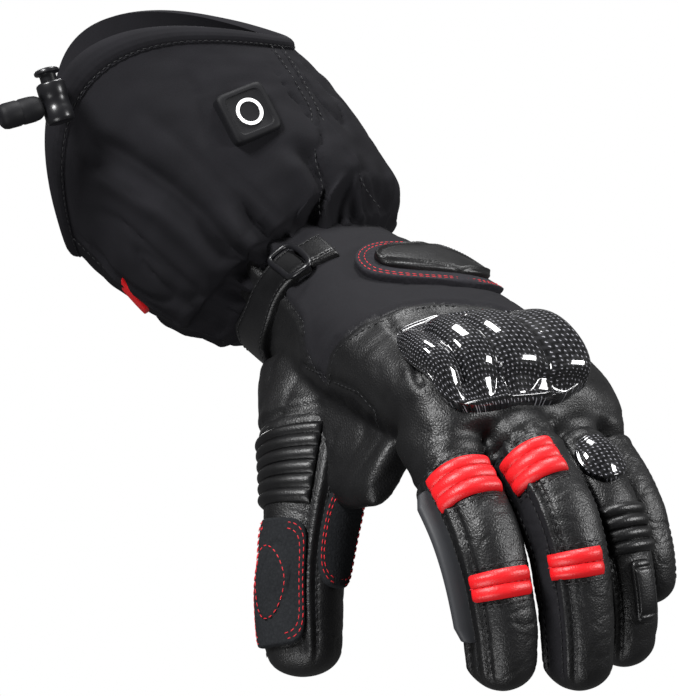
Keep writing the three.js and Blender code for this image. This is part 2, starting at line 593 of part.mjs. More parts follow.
// Drawcord from the hem through the cord lock to its pull. The lock's spring plunger slides along its barrel.
const LOCK_ANGLE = 2.1;
const LOCK_AXIS = [-0.06, -0.67, 0.74];
const PULL_AXIS = [-0.97, 0.22, 0.06];
const LOCK_OUT = LOCK_RADIUS + 6; // from the hem's tunnel to the middle of the lock
const cordFoot = cuff.point(LOCK_ANGLE, hemEnd / 2, HEM_SWELL);
const lockMiddle = cuff.point(LOCK_ANGLE, hemEnd / 2, HEM_SWELL + LOCK_OUT);
const CORD_AXIS = cordFoot.clone().sub(lockMiddle).normalize().toArray();
function turned(profile, axis, along, sides = 14) {
  const lathe = new THREE.LatheGeometry(profile.map(([r, h]) => new THREE.Vector2(r, h)), sides);
  const direction = vec(axis).normalize();
  lathe.applyQuaternion(new THREE.Quaternion().setFromUnitVectors(new THREE.Vector3(0, 1, 0), direction));
  const foot = lockMiddle.clone().addScaledVector(direction, along);
  lathe.translate(foot.x, foot.y, foot.z);
  return solid(lathe);
}
const top = LOCK_LENGTH / 2;
const well = LOCK_RADIUS - 2;
const stem = well - GAP;
const flange = LOCK_RADIUS * 0.88;
const wellFloor = top - PLUNGER_TRAVEL - 6;
const barrel = turned(
  [[0, -top], [LOCK_RADIUS - 1.2, -top], [LOCK_RADIUS, 1.6 - top], [LOCK_RADIUS, top - 1],
    [LOCK_RADIUS - 0.8, top], [well, top], [well, wellFloor], [0, wellFloor]],
  LOCK_AXIS, 0,
);
add("cord_lock", barrel, MATERIALS.plastic);
const underFlange = top + PLUNGER_TRAVEL + GAP;
const stemFoot = wellFloor + PLUNGER_TRAVEL + GAP;
add(
  "cord_plunger",
  turned(
    [[0, stemFoot], [stem, stemFoot], [stem, underFlange], [flange, underFlange + 0.3],
      [flange, underFlange + 1.4], [flange - 1, underFlange + 2], [0, underFlange + 2.2]],
    LOCK_AXIS, 0,
  ),
  MATERIALS.plastic,
);
const pullStart = LOCK_RADIUS + GAP;
add(
  "cord_pull",
  turned(
    [[0, 0], [PULL_RADIUS - 1.8, 0], [PULL_RADIUS - 0.4, 1.6], [PULL_RADIUS, 4], [PULL_RADIUS, PULL_LENGTH - 2.6],
      [PULL_RADIUS - 0.8, PULL_LENGTH - 0.8], [PULL_RADIUS - 2.6, PULL_LENGTH], [0, PULL_LENGTH - 0.6]],
    PULL_AXIS, pullStart,
  ),
  MATERIALS.rubber,
);
const hemRoom = cuff.solid(-REACH, 0.3, 6, CUFF_SIDES, HEM_SWELL + GAP);
const cord = turned([[0, 0], [CORD_DIAMETER / 2, 0], [CORD_DIAMETER / 2, CORD_SHOWN], [0, CORD_SHOWN]],
  CORD_AXIS, pullStart, 10);
add("drawcord", cord.subtract(hemRoom), MATERIALS.rubber);

export default group;
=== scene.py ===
"""Heated winter riding glove: detailed pieces over the CAD nodes, their materials, light and camera.

Sizes are in millimetres. Those that the part's source has too repeat it, so that each piece lies where
its node does. Places on a tube are an angle round it, in radians, and a share of its length.
"""

import math

import bpy
import numpy as np
from mathutils import Matrix, Vector, kdtree, noise


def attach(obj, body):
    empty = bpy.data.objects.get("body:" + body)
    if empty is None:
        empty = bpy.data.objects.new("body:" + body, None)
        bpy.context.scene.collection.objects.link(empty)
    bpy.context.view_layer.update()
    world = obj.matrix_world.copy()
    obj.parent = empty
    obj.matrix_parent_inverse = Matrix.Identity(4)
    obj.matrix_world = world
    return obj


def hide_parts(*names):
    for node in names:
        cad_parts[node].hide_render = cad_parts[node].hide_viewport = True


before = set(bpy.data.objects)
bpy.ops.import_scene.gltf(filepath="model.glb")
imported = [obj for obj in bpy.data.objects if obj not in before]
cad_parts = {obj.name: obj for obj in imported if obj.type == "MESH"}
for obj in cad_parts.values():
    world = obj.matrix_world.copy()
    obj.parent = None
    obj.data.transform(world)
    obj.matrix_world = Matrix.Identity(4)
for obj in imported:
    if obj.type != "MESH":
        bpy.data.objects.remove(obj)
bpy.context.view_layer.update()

MM = 0.001
GAP = 0.35
SUNK = 0.8  # how far a panel's underside lies in the surface
SKIN_WALL = 2
FINGER_WALL = 2.6
CUFF_WALL = 2.4
HEM_WIDTH = 13
HEM_SWELL = 2.2
STRAP_WIDTH = 24
STRAP_THICKNESS = 2.6
BUTTON_SIDE = 21.5
BUTTON_HEIGHT = 4.6
GUARD_THICKNESS = 3.6
GUARD_DOME = 7.5
PANEL_THICKNESS = 2.2
PADDING = 3
LOCK_RADIUS = 5.6
LOCK_LENGTH = 16
PLUNGER_TRAVEL = 3
PULL_RADIUS = 5
PULL_LENGTH = 17
CORD_RADIUS = 1.5
CORD_SHOWN = 7.5
BACK = math.pi / 2  # the angle of the back of the hand on every section
TAU = 2 * math.pi


# Maths on arrays of points
def unit(v):
    return v / np.maximum(np.linalg.norm(v, axis=-1, keepdims=True), 1e-9)


def bell(x, width):
    return np.exp(-((x / width) ** 2))


def step(x, start, end):
    """A smooth rise from 0 at the start to 1 at the end."""
    k = np.clip((x - start) / (end - start), 0, 1)
    return k * k * (3 - 2 * k)


def eased(t, places, values, width=0.05):
    """The values between their places, with the corners rounded over that width."""
    return sum(np.interp(t + k * width, places, values) for k in (-1, -0.5, 0, 0.5, 1)) / 5


def angle_from(start, u):
    """The angle from start to u, the shorter way round."""
    return (u - start + math.pi) % TAU - math.pi


def turns(count):
    return np.linspace(0, TAU, count, endpoint=False)


def on_drum(u, t, radius, length):
    """Places on a plain drum, for a pattern that is drawn out along a tube."""
    return np.stack([np.cos(u) * radius, np.sin(u) * radius, t * length], -1)


def lumps(points, size, seed=0.0):
    """Smooth noise from about -1 to 1, in lumps of about that size."""
    flat_list = (np.asarray(points) / size + seed).reshape(-1, 3).tolist()
    return np.array([noise.noise(p) for p in flat_list]).reshape(np.shape(points)[:-1])


def wrinkles(points, size, seed, sharpness=6):
    """Narrow lines of 1 on 0, where the smooth noise crosses zero."""
    return np.clip(1 - np.abs(lumps(points, size, seed)) * sharpness, 0, 1) ** 2


class Line:
    """A centripetal Catmull-Rom line through points, read by the share of its length."""

    def __init__(self, points):
        p = np.array(points, float)
        p = np.vstack([2 * p[0] - p[1], p, 2 * p[-1] - p[-2]])
        k = np.linspace(0, 1, 120, endpoint=False)[:, None]
        parts = []
        for a, b, c, d in zip(p, p[1:], p[2:], p[3:]):
            before, here, after = (np.linalg.norm(v) ** 0.5 for v in (b - a, c - b, d - c))
            leave = ((b - a) / before - (c - a) / (before + here) + (c - b) / here) * here
            reach = ((c - b) / here - (d - b) / (here + after) + (d - c) / after) * here
            square = -3 * b + 3 * c - 2 * leave - reach
            cube = 2 * b - 2 * c + leave + reach
            parts.append(b + leave * k + square * k**2 + cube * k**3)
        self.spots = np.vstack([*parts, p[-2:-1]])
        steps = np.linalg.norm(np.diff(self.spots, axis=0), axis=1)
        self.run = np.concatenate([[0], np.cumsum(steps)])
        self.length = self.run[-1]
        self.ways = unit(np.gradient(self.spots, self.run, axis=0))

    def read(self, table, t):
        return np.stack([np.interp(t * self.length, self.run, column) for column in table.T], -1)

    def at(self, t):
        """The points and the unit ways there, straight on past both ends."""
        kept = np.clip(t, 0, 1)
        along = unit(self.read(self.ways, kept))
        return self.read(self.spots, kept) + along * ((t - kept) * self.length)[..., None], along


class Tube:
    """A tube round a line. half_size(t) gives its half width and half depth."""

    def __init__(self, points, across, half_size, power):
        self.line = Line(points)
        self.length = self.line.length
        self.across = np.array(across, float)
        self.half_size = half_size
        self.power = power

    def frame(self, t):
        centre, along = self.line.at(t)
        x = unit(self.across - along * (along @ self.across)[..., None])
        return centre, along, x, -np.cross(x, along)

    def reach(self, turn, half):
        """How far the section goes one way, rounder or squarer by the tube's power."""
        return (np.sign(turn) * np.abs(turn) ** (2 / self.power) * np.maximum(half, 0.05))[..., None]

    def point(self, u, t, out=0.0):
        """The points at those angles and shares, that far out of the surface."""
        u, t, out = np.broadcast_arrays(*(np.asarray(v, float) for v in (u, t, out)))
        centre, _, x, y = self.frame(t)
        wide, deep = self.half_size(t)
        return centre + x * self.reach(np.cos(u), wide + out) + y * self.reach(np.sin(u), deep + out)

    def place(self, points):
        """The angles and the shares of points that lie near the tube's surface."""
        t = np.full(len(points), 0.5)
        for _ in range(8):
            centre, along, x, y = self.frame(t)
            away = points - centre
            t = np.clip(t + np.sum(away * along, -1) / self.length, -0.25, 1.05)
        wide, deep = self.half_size(t)
        px = np.sum(away * x, -1) / wide
        py = np.sum(away * y, -1) / deep
        curl = self.power / 2
        return np.arctan2(np.sign(py) * abs(py) ** curl, np.sign(px) * abs(px) ** curl), t


def half_sizes(places, table, width=0.05):
    """A half_size for a tube, from the last two columns of its table of sections."""
    return lambda t: [eased(t, places, table[:, column], width) for column in (-2, -1)]


# The digits' half widths and half depths, and their lines from the hand to the tip
DIGIT_HALVES = {
    "index": (12.3, 12.9),
    "middle": (12.55, 13.16),
    "ring": (11.81, 12.38),
    "little": (10.58, 11.09),
    "thumb": (14.5, 15.5),
}
DIGIT_LINES = {
    "index": [(-46.5, -40.5, -114), (-54.5, -33.8, -158.3), (-58.4, -19.2, -181.1), (-61, 0.3, -197.5)],
    "middle": [(-21.5, -46, -119.8), (-29.2, -41, -168.1), (-33.2, -21.8, -192.2), (-36.2, -0.5, -208)],
    "ring": [(3.5, -41.5, -119.2), (-3.5, -35, -164.8), (-7.3, -18.5, -189.7), (-10, 3, -204)],
    "little": [(22, -31, -116), (21.5, -27.5, -152.5), (19.5, -17, -173), (17, -2, -188.5)],
    "thumb": [(-26, -2, -40), (-55, 17, -80), (-71, 38, -106), (-82, 56, -132)],
}
PALM_ACROSS = (0.988, 0.153, 0)
THUMB_ACROSS = (0.55, 0.62, -0.1)
FINGER_CUT = 22  # how much of a finger's line is in the hand shell
THUMB_CUT = 30
TIP_LENGTH = 11
FINGER_SHARES = [0.98, 1.0, 1.0, 1.0, 0.99, 0.96, 0.92, 0.88, 0.82]
THUMB_WIDTH_SHARES = [1.3, 1.25, 1.17, 1.1, 1.03, 0.98, 0.95, 0.9, 0.82]
THUMB_DEPTH_SHARES = [1.85, 1.75, 1.55, 1.32, 1.14, 1.04, 0.98, 0.94, 0.86]


def digit_tube(name, inset=0.0):
    """The tube of a digit, or one that far inside it, with a rounded tip."""
    half_width, half_depth = DIGIT_HALVES[name]
    thumb = name == "thumb"
    widths = THUMB_WIDTH_SHARES if thumb else FINGER_SHARES
    depths = THUMB_DEPTH_SHARES if thumb else FINGER_SHARES
    length = Line(DIGIT_LINES[name]).length
    places = np.linspace(0, 1, len(widths))

    def half_size(t):
        into = np.clip((t * length - (length - inset - TIP_LENGTH)) / TIP_LENGTH, 0, 1)
        cap = np.sqrt(1 - into**2.4)
        wide = half_width * eased(t, places, widths) - inset
        deep = half_depth * eased(t, places, depths) - inset
        return wide * cap, deep * cap

    return Tube(DIGIT_LINES[name], THUMB_ACROSS if thumb else PALM_ACROSS, half_size, 2.25)


digits = {name: digit_tube(name) for name in DIGIT_LINES}
starts = {name: FINGER_CUT / tube.length for name, tube in digits.items()}
starts["thumb"] = THUMB_CUT / digits["thumb"].length

PALM_DROP = 134
PALM_SECTIONS = np.array([  # share of the way to the crotches, x, y, half width and half depth
    (-0.1, 1, -1, 39.5, 31.5),
    (0.0, 2, -2.5, 40, 31.5),
    (0.14, 2, -7.5, 42, 32.55),
    (0.36, -1, -17.5, 46.5, 29.82),
    (0.6, -6, -31, 49, 25.2),
    (0.84, -9, -40.5, 49, 21.42),
    (0.94, -12, -41, 46.5, 17.64),
    (1.0, -13, -41.5, 44, 13.02),
])
palm_line = [(x, y, -along * PALM_DROP) for along, x, y, _, _ in PALM_SECTIONS]
palm_run = [Line(palm_line[: i + 1]).length if i else 0 for i in range(len(palm_line))]
palm_places = np.array(palm_run) / palm_run[-1]
palm = Tube(palm_line, PALM_ACROSS, half_sizes(palm_places, PALM_SECTIONS, 0.03), 2.5)

WEB_SECTIONS = np.array([  # between the thumb and the index finger: x, y, z, half width and half depth
    (-18, -6, -34, 30, 19),
    (-37, -5, -64, 33, 15),
    (-46, -6, -84, 26, 10.5),
    (-49, -10, -96, 21, 7.5),
    (-52, -20, -111, 15, 6),
])
web_places = np.linspace(0, 1, len(WEB_SECTIONS))
web = Tube(WEB_SECTIONS[:, :3], (0.18, -0.85, -0.5), half_sizes(web_places, WEB_SECTIONS), 2.3)

CUFF_SECTIONS = np.array([  # share from the mouth to the wrist, flare from 0 to 1, bagging
    (0, 1, 0),
    (0.3, 0.88, 2.4),
    (0.55, 0.62, 6.6),
    (0.75, 0.35, 8),
    (0.9, 0.15, 5.6),
    (1, 0, -1.4),
])
CUFF_LINE = [
    (-66, -55, 131),
    (-43.56, -39.05, 97.68),
    (-18.48, -19.8, 59.6),
    (-1.32, -6.6, 29.85),
    (2.64, -1.65, 12),
]
WRIST_HALF_WIDTH, WRIST_HALF_DEPTH = 47, 37
FLARE_WIDTH, FLARE_DEPTH = 16, 7
SEAM_CUT = 56
BACK_CUT = 18
SEAM_TURN = 0.3


def cuff_half(t):
    shares, flares, bags = CUFF_SECTIONS.T
    flare, bag = eased(t, shares, flares), eased(t, shares, bags)
    return WRIST_HALF_WIDTH + FLARE_WIDTH * flare + bag, WRIST_HALF_DEPTH + FLARE_DEPTH * flare + bag


class CuffTube(Tube):
    """The cuff, whose shares start further down where its mouth is cut back."""

    def point(self, u, t, out=0.0):
        cut = SEAM_CUT * np.cos(u - SEAM_TURN) ** 2 + BACK_CUT * (0.5 + 0.5 * np.sin(u))
        return self.uncut(u, t + cut / self.length * (1 - t), out)

    def uncut(self, u, t, out=0.0):
        return super().point(u, t, out)


cuff = CuffTube(CUFF_LINE, (0.79, -0.545, 0.27), cuff_half, 2)
hem_end = HEM_WIDTH / cuff.length


# Shader maths
class Value:
    """An output of a shader node that can be used in sums."""

    def __init__(self, tree, socket):
        self.tree = tree
        self.socket = socket

    def maths(self, operation, *others, swapped=False):
        """A Math node of this value and the others, which come first where it is swapped."""
        values = (*others, self) if swapped else (self, *others)
        return shader_node(self.tree, "Math", {"operation": operation}, dict(enumerate(values)))

    def __add__(self, other):
        return self.maths("ADD", other)

    def __sub__(self, other):
        return self.maths("SUBTRACT", other)

    def __rsub__(self, other):
        return self.maths("SUBTRACT", other, swapped=True)

    def __mul__(self, other):
        return self.maths("MULTIPLY", other)

    __radd__ = __add__
    __rmul__ = __mul__


def shader_node(tree, kind, settings, inputs, output=0):
    """Any shader node: its settings, then its inputs by name or place. Gives one output."""
    node = tree.nodes.new("ShaderNode" + kind)
    for key, value in settings.items():
        setattr(node, key, value)
    for key, value in inputs.items():
        if isinstance(value, Value):
            tree.links.new(value.socket, node.inputs[key])
        else:
            node.inputs[key].default_value = value
    return Value(tree, node.outputs[output])


class Finish:
    """A material with a principled shader. Constants go on the shader, varying values come by method."""

    def __init__(self, name, **constants):
        self.material = bpy.data.materials.new(name)
        self.material.use_nodes = True
        self.tree = self.material.node_tree
        self.shader = self.tree.nodes["Principled BSDF"]
        for key, value in constants.items():
            self.shader.inputs[key.replace("_", " ")].default_value = value

    def node(self, kind, settings, inputs, output=0):
        return shader_node(self.tree, kind, settings, inputs, output)

    def noise(self, scale, detail):
        place = self.node("TexCoord", {}, {}, "Object")
        return self.node("TexNoise", {}, {"Vector": place, "Scale": scale, "Detail": detail})

    def cells(self, scale):
        place = self.node("TexCoord", {}, {}, "Object")
        return self.node("TexVoronoi", {"feature": "DISTANCE_TO_EDGE"}, {"Vector": place, "Scale": scale})

    def mixed(self, amount, low, high):
        """A colour between two, in the sockets that a Mix node has for colours."""
        return self.node("Mix", {"data_type": "RGBA"}, {0: amount, 6: (*low, 1), 7: (*high, 1)}, 2)

    def bumps(self, height, depth, strength):
        return self.node("Bump", {}, {"Strength": strength, "Distance": depth * MM, "Height": height})

    def feed(self, name, value):
        self.tree.links.new(value.socket, self.shader.inputs[name])

    def cover(self, mask, **inputs):
        """Shows a second shader where the mask is 1."""
        named = {key.replace("_", " "): value for key, value in inputs.items()}
        second = self.node("BsdfPrincipled", {}, named)
        under = Value(self.tree, self.shader.outputs[0])
        both = self.node("MixShader", {}, {0: mask, 1: under, 2: second})
        self.tree.links.new(both.socket, self.tree.nodes["Material Output"].inputs["Surface"])


SHELL_DARK = (0.0040, 0.0040, 0.0046)
SHELL_LIGHT = (0.0100, 0.0096, 0.0120)
HIDE_DARK = (0.0015, 0.0015, 0.0017)
HIDE_LIGHT = (0.0045, 0.0045, 0.005)


def leather(name, dark, light, roughness, grain, cloth=None):
    """Grained leather. Where the mask named cloth is 1 it is stretch cloth."""
    finish = Finish(name, IOR=1.45, Specular_IOR_Level=0.42)
    folds = finish.noise(90, 4)
    height = finish.cells(950) * 1.6 + finish.noise(1500, 1) * 0.25 + folds * 0.6
    finish.feed("Base Color", finish.mixed(folds, dark, light))
    finish.feed("Roughness", roughness + folds * 0.16 - 0.08)
    finish.feed("Normal", finish.bumps(height, grain, 0.8))
    if cloth:
        weave = finish.noise(1900, 3)
        finish.cover(
            finish.node("Attribute", {"attribute_name": cloth}, {}, "Fac"),
            Base_Color=finish.mixed(weave, SHELL_DARK, SHELL_LIGHT),
            Roughness=0.86,
            Specular_IOR_Level=0.14,
            Normal=finish.bumps(weave, 0.05, 0.9),
        )
    return finish.material


def woven(name, dark, light, scale, roughness, depth, fleck=0.0):
    """Close-woven or brushed cloth."""
    finish = Finish(name, Roughness=roughness, IOR=1.4, Specular_IOR_Level=0.14)
    weave = finish.noise(scale, 3)
    broad = finish.noise(60, 3)
    specks = finish.cells(scale * 0.6)
    finish.feed("Base Color", finish.mixed(broad * 0.5 + weave * 0.5 + specks * fleck, dark, light))
    finish.feed("Normal", finish.bumps(weave + specks * 0.8, depth, 0.9))
    return finish.material


def arch(value):
    """A round thread's height over its width, again in each unit."""
    return (value * math.pi).maths("SINE").maths("ABSOLUTE")


def carbon(name, threads=7):
    """Carbon twill under a clear coat. The weave follows the piece's own UV, one unit to 10 mm."""
    finish = Finish(
        name, IOR=1.5, Roughness=0.4, Specular_IOR_Level=0.04, Coat_Weight=1.0, Coat_Roughness=0.03,
    )
    spot = finish.node("UVMap", {"uv_map": "UVMap"}, {})
    across = finish.node("SeparateXYZ", {}, {0: spot}, "X") * threads
    along = finish.node("SeparateXYZ", {}, {0: spot}, "Y") * threads
    over = (across * 0.5 + along * 0.5).maths("FRACT").maths("GREATER_THAN", 0.5)
    height = arch(across) * over + arch(along) * (1 - over)
    glint = (arch(across) * arch(along) * over).maths("GREATER_THAN", 0.8)
    tone = height * 0.05 + glint * 0.95
    finish.feed("Base Color", finish.mixed(tone, (0.001, 0.001, 0.0012), (0.22, 0.22, 0.24)))
    finish.feed("Normal", finish.bumps(height, 0.1, 0.4))
    return finish.material


def plain(name, colour, roughness, shine=0.32):
    finish = Finish(name, Base_Color=(*colour, 1), Specular_IOR_Level=shine)
    speck = finish.noise(400, 3)
    finish.feed("Roughness", roughness + speck * 0.12 - 0.06)
    finish.feed("Normal", finish.bumps(speck, 0.05, 0.5))
    return finish.material


BLACK = leather("black_leather_grain", HIDE_DARK, HIDE_LIGHT, 0.45, 0.15, cloth="cloth")
SMOOTH_BLACK = leather("smooth_leather", HIDE_DARK, (0.0040, 0.0040, 0.0045), 0.4, 0.09)
RED = leather("red_leather_grain", (0.46, 0.004, 0.007), (0.58, 0.008, 0.011), 0.42, 0.08)
SHELL = woven("softshell_cloth", SHELL_DARK, SHELL_LIGHT, 1900, 0.86, 0.05)
SUEDE = woven("wear_suede", (0.002, 0.0025, 0.003), (0.017, 0.018, 0.020), 1000, 0.93, 0.2, 0.5)
ARMOUR = woven("armour_cloth", (0.004, 0.004, 0.005), (0.022, 0.021, 0.025), 900, 0.82, 0.14, 0.6)
CARBON = carbon("carbon_twill")
RUBBER = plain("rubber", (0.005, 0.005, 0.006), 0.6, shine=0.14)
WIPER = plain("wiper_rubber", (0.022, 0.023, 0.026), 0.6)
PLASTIC = plain("black_plastic", (0.006, 0.006, 0.007), 0.3)
MARK = plain("white_mark", (0.86, 0.86, 0.86), 0.5)
RED_THREAD = plain("red_thread", (0.42, 0.008, 0.016), 0.6)
DARK_THREAD = plain("dark_thread", (0.006, 0.006, 0.007), 0.6)


# Meshes
def loft(rings, loop=False):
    """Points and faces of a closed skin through rings of points. loop joins the last ring to the first."""
    rings = np.asarray(rings)
    count, sides = rings.shape[:2]
    i = np.arange(count if loop else count - 1)[:, None]
    j = np.arange(sides)[None]
    near, far = i * sides, (i + 1) % count * sides
    right = (j + 1) % sides
    faces = np.stack([near + j, near + right, far + right, far + j], -1).reshape(-1, 4).tolist()
    points = rings.reshape(-1, 3)
    if not loop:
        points = np.vstack([points, rings[0].mean(0), rings[-1].mean(0)])
        last = (count - 1) * sides
        faces += [(k, len(points) - 2, (k + 1) % sides) for k in range(sides)]
        faces += [(last + k, last + (k + 1) % sides, len(points) - 1) for k in range(sides)]
    return points, faces


def outwards(points, faces):
    """The faces of a closed skin, turned over where its volume is less than nothing."""
    fans = [(f[0], f[k], f[k + 1]) for f in faces for k in range(1, len(f) - 1)]
    a, b, c = (points[[fan[n] for fan in fans]] for n in range(3))
    if np.sum(a * np.cross(b, c)) < 0:
        return [tuple(reversed(f)) for f in faces]
    return faces


def in_scene(name, mesh):
    made = bpy.data.objects.new(name, mesh)
    bpy.context.scene.collection.objects.link(made)
    return made


def as_built(made):
    """A plain mesh of an object with its modifiers."""
    return bpy.data.meshes.new_from_object(made.evaluated_get(bpy.context.evaluated_depsgraph_get()))


def piece(name, shape, material, nodes, body="glove", uv=None, cloth=None, crease=50):
    """A piece of the glove from points in millimetres and faces."""
    points, faces = shape
    mesh = bpy.data.meshes.new(name)
    mesh.from_pydata((points * MM).tolist(), [], outwards(points, faces))
    mesh.materials.append(material)
    if cloth is not None:
        layer = mesh.attributes.new("cloth", "FLOAT", "POINT")
        layer.data.foreach_set("value", cloth.astype(np.float32))
    if uv is not None:
        corners = np.empty(len(mesh.loops), np.int32)
        mesh.loops.foreach_get("vertex_index", corners)
        mesh.uv_layers.new(name="UVMap").data.foreach_set("uv", uv[corners].astype(np.float32).ravel())
    mesh.shade_smooth()
    mesh.set_sharp_from_angle(angle=math.radians(crease))
    return declare(in_scene(name, mesh), nodes, body)


def declare(made, nodes, body="glove"):
    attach(made, body)
    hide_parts(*nodes)
    return made


# Panels: outlines give the left and right edge at a height y, reliefs a share of the thickness
def soft_corners(power):
    def edge(y):
        half = (1 - np.abs(y) ** power) ** (1 / power)
        return -half, half

    return edge


def square(y):
    return -np.ones_like(y), np.ones_like(y)


def flat(k, y, x):
    return np.ones_like(k)


def ribbed(ribs, valley=0.2):
    return lambda k, y, x: valley + (1.1 - valley) * np.abs(np.sin(ribs * np.pi * (y + 1) / 2)) ** 0.55


def domed(x, y, power):
    return (1 - np.clip(x * x + y * y, 0, 1)) ** power


def panel(at, thick, edge=square, height=flat, columns=60, rows=60, rim=1.3):
    """A closed panel on a surface, with a rounded rim. Returns its shape and its UV, one unit to 10 mm."""
    half_width = np.linalg.norm(at(1, 0, 0) - at(-1, 0, 0)) / 2
    half_length = np.linalg.norm(at(0, 1, 0) - at(0, -1, 0)) / 2
    share_across = np.sin(np.linspace(-1, 1, columns + 1) * BACK)
    share_along = np.sin(np.linspace(-1, 1, rows + 1) * BACK) * 0.997
    k, y = np.meshgrid(share_across, share_along)
    low, high = edge(y)
    x = low + (high - low) * (k + 1) / 2

    def rounded(room):
        """The rim's height that far from the edge, from 0 to 1."""
        return np.sqrt(1 - np.clip(1 - room / rim, 0, 1) ** 2)

    rounding = rounded((1 - np.abs(k)) * half_width * (high - low) / 2)
    rounding = rounding * rounded((1 - np.abs(y)) * half_length)
    top = at(x, y, GAP + thick * height(k, y, x) * (0.25 + 0.75 * rounding))
    under = at(x, y, np.full_like(x, -SUNK))
    count = (rows + 1) * (columns + 1)
    ids = np.arange(count).reshape(rows + 1, columns + 1)
    quads = np.stack([ids[:-1, :-1], ids[:-1, 1:], ids[1:, 1:], ids[1:, :-1]], -1).reshape(-1, 4)
    border = np.concatenate([ids[0], ids[1:, -1], ids[-1, -2::-1], ids[-2:0:-1, 0]])
    after = np.roll(border, -1)
    sides = np.stack([after, border, border + count, after + count], -1)
    faces = np.concatenate([quads, quads[:, ::-1] + count, sides]).tolist()
    points = np.vstack([top.reshape(-1, 3), under.reshape(-1, 3)])
    uv = np.stack([x * half_width, y * half_length], -1).reshape(-1, 2) / 10
    return (points, faces), np.vstack([uv, uv])


def on_tube(tube, u, middle, half_angle, half_length, lift=0.0):
    """A place for a panel, that many millimetres along a tube: x and y from -1 to 1 to a point."""

    def at(x, y, out):
        return tube.point(u + x * half_angle, (middle + y * half_length) / tube.length, out + lift)

    return at


# Stitches: polylines that one node tree turns into rows of stitches
seams = {"red": [], "bars": [], "dark": []}


def sew(thread, at, x, y, out):
    """A seam through the places x and y of at, that far out of it."""
    x, y = np.broadcast_arrays(np.asarray(x, float), np.asarray(y, float))
    points = at(x, y, np.full(x.shape, float(out)))
    seams[thread].append((points, unit(at(x, y, np.full(x.shape, out + 1.0)) - points)))


def sew_edge(thread, at, edge, insets, out):
    """Seams round a panel, at those shares of its way from the middle to its edge."""
    turn = np.linspace(-1, 1, 160)
    y = np.concatenate([turn, turn[::-1]]) * 0.985
    low, high = edge(y)
    x = np.concatenate([high[:160], low[160:]])
    for inset in insets:
        sew(thread, at, np.append(x, x[0]) * inset, np.append(y, y[0]) * inset, out)


def spread(places, count):
    """Angles and shares at even steps through a table of both."""
    table = np.array(places, float)
    spots = np.linspace(0, len(table) - 1, count)
    return [np.interp(spots, range(len(table)), column) for column in table.T]


def sew_tube(thread, tube, places, out=0.25, count=160):
    sew(thread, tube.point, *spread(places, count), out)


# Cuff: softshell with long creases, gathers at the wrist and sewn seams
CUFF_RADIUS = 50  # turns an angle on the cuff into millimetres
CUFF_FOLDS = [  # depth, width, then angles and shares from the mouth to the wrist
    (2.6, 3.6, [(2.20, 0.165), (2.12, 0.32), (2.07, 0.47), (2.07, 0.595), (2.12, 0.74), (2.12, 0.97)]),
    (2.8, 3.0, [(1.83, 0.655), (1.88, 0.75), (1.88, 0.935)]),
    (2.2, 3.4, [(1.28, 0.62), (1.31, 0.855), (1.57, 0.975)]),
    (2.4, 3.4, [(1.02, 0.84), (1.31, 1.0)]),
    (2.0, 6.0, [(3.6, 0.3), (3.45, 0.6), (3.5, 0.95)]),
    (2.0, 6.0, [(4.7, 0.35), (4.6, 0.95)]),
    (2.0, 6.0, [(5.5, 0.4), (5.6, 0.95)]),
]
CUFF_SEAMS = [
    [(0.60, 0.10), (0.76, 0.37), (0.89, 0.57), (0.92, 0.705), (0.86, 0.885), (0.76, 0.995)],
    [(0.70, 0.10), (0.89, 0.48), (1.20, 0.715), (1.34, 0.94)],
    [(2.90, 0.10), (2.95, 0.50), (3.02, 0.995)],
    [(4.30, 0.10), (4.40, 0.995)],
]
HEM_SWELLS = [  # share of the hem's width and of its swell
    (0, 0.1), (0.12, 0.6), (0.25, 0.85), (0.5, 1), (0.7, 0.9), (0.85, 0.55), (0.94, 0.15), (1, 0.3),
]


def from_line(u, t, places):
    """Millimetres round the cuff from a line, and 1 between the line's ends with 0 past them."""
    angles, shares = np.array(places).T
    away = angle_from(np.interp(t, shares, angles), u) * CUFF_RADIUS
    begin, end = shares[0], shares[-1]
    return away, step(t, begin - 0.05, begin + 0.08) * (1 - step(t, end, end + 0.05))


def cuff_relief(u, t):
    """Soft bagging, long creases, gathers, folds and seams, tucked in onto the hand at the wrist."""
    stretched = on_drum(u, t, 2.6, 2.2)
    relief = 3.6 * lumps(stretched, 1, 3.1) * step(t, 0.08, 0.4) + 0.5 * lumps(cuff.uncut(u, t), 11, 7.7)
    relief -= 1.5 * wrinkles(on_drum(u, t, 3.4, 1.9), 1, 14.2) * step(t, 0.1, 0.35)
    relief += 1.7 * np.cos(19 * u + 6 * lumps(stretched, 1, 9.0)) * step(t, 0.74, 0.98)
    for depth, width, places in CUFF_FOLDS:
        away, inside = from_line(u, t, places)
        relief += 1.9 * depth * inside * (0.8 * bell(away - 2.1 * width, 1.3 * width) - bell(away, width))
    for places in CUFF_SEAMS:
        away, inside = from_line(u, t, places)
        relief += inside * (0.9 * bell(away - 1.7, 1.8) - 0.7 * bell(away, 0.8))
    tuck = (1 + 5.5 * np.clip(np.sin(u + 0.7), 0, 1)) * step(t, 0.84, 1.0) + 13 * step(t, 0.985, 1.055)
    return relief * step(t, hem_end, hem_end + 0.06) * (1 - step(t, 1, 1.05)) - tuck


def hem_relief(u, t):
    share = t / hem_end
    pucker = 0.14 * np.cos(95 * u) * bell(share - 0.9, 0.25) + 0.2 * lumps(cuff.uncut(u, t), 16, 1.3)
    return np.interp(share, *zip(*HEM_SWELLS)) * HEM_SWELL + pucker


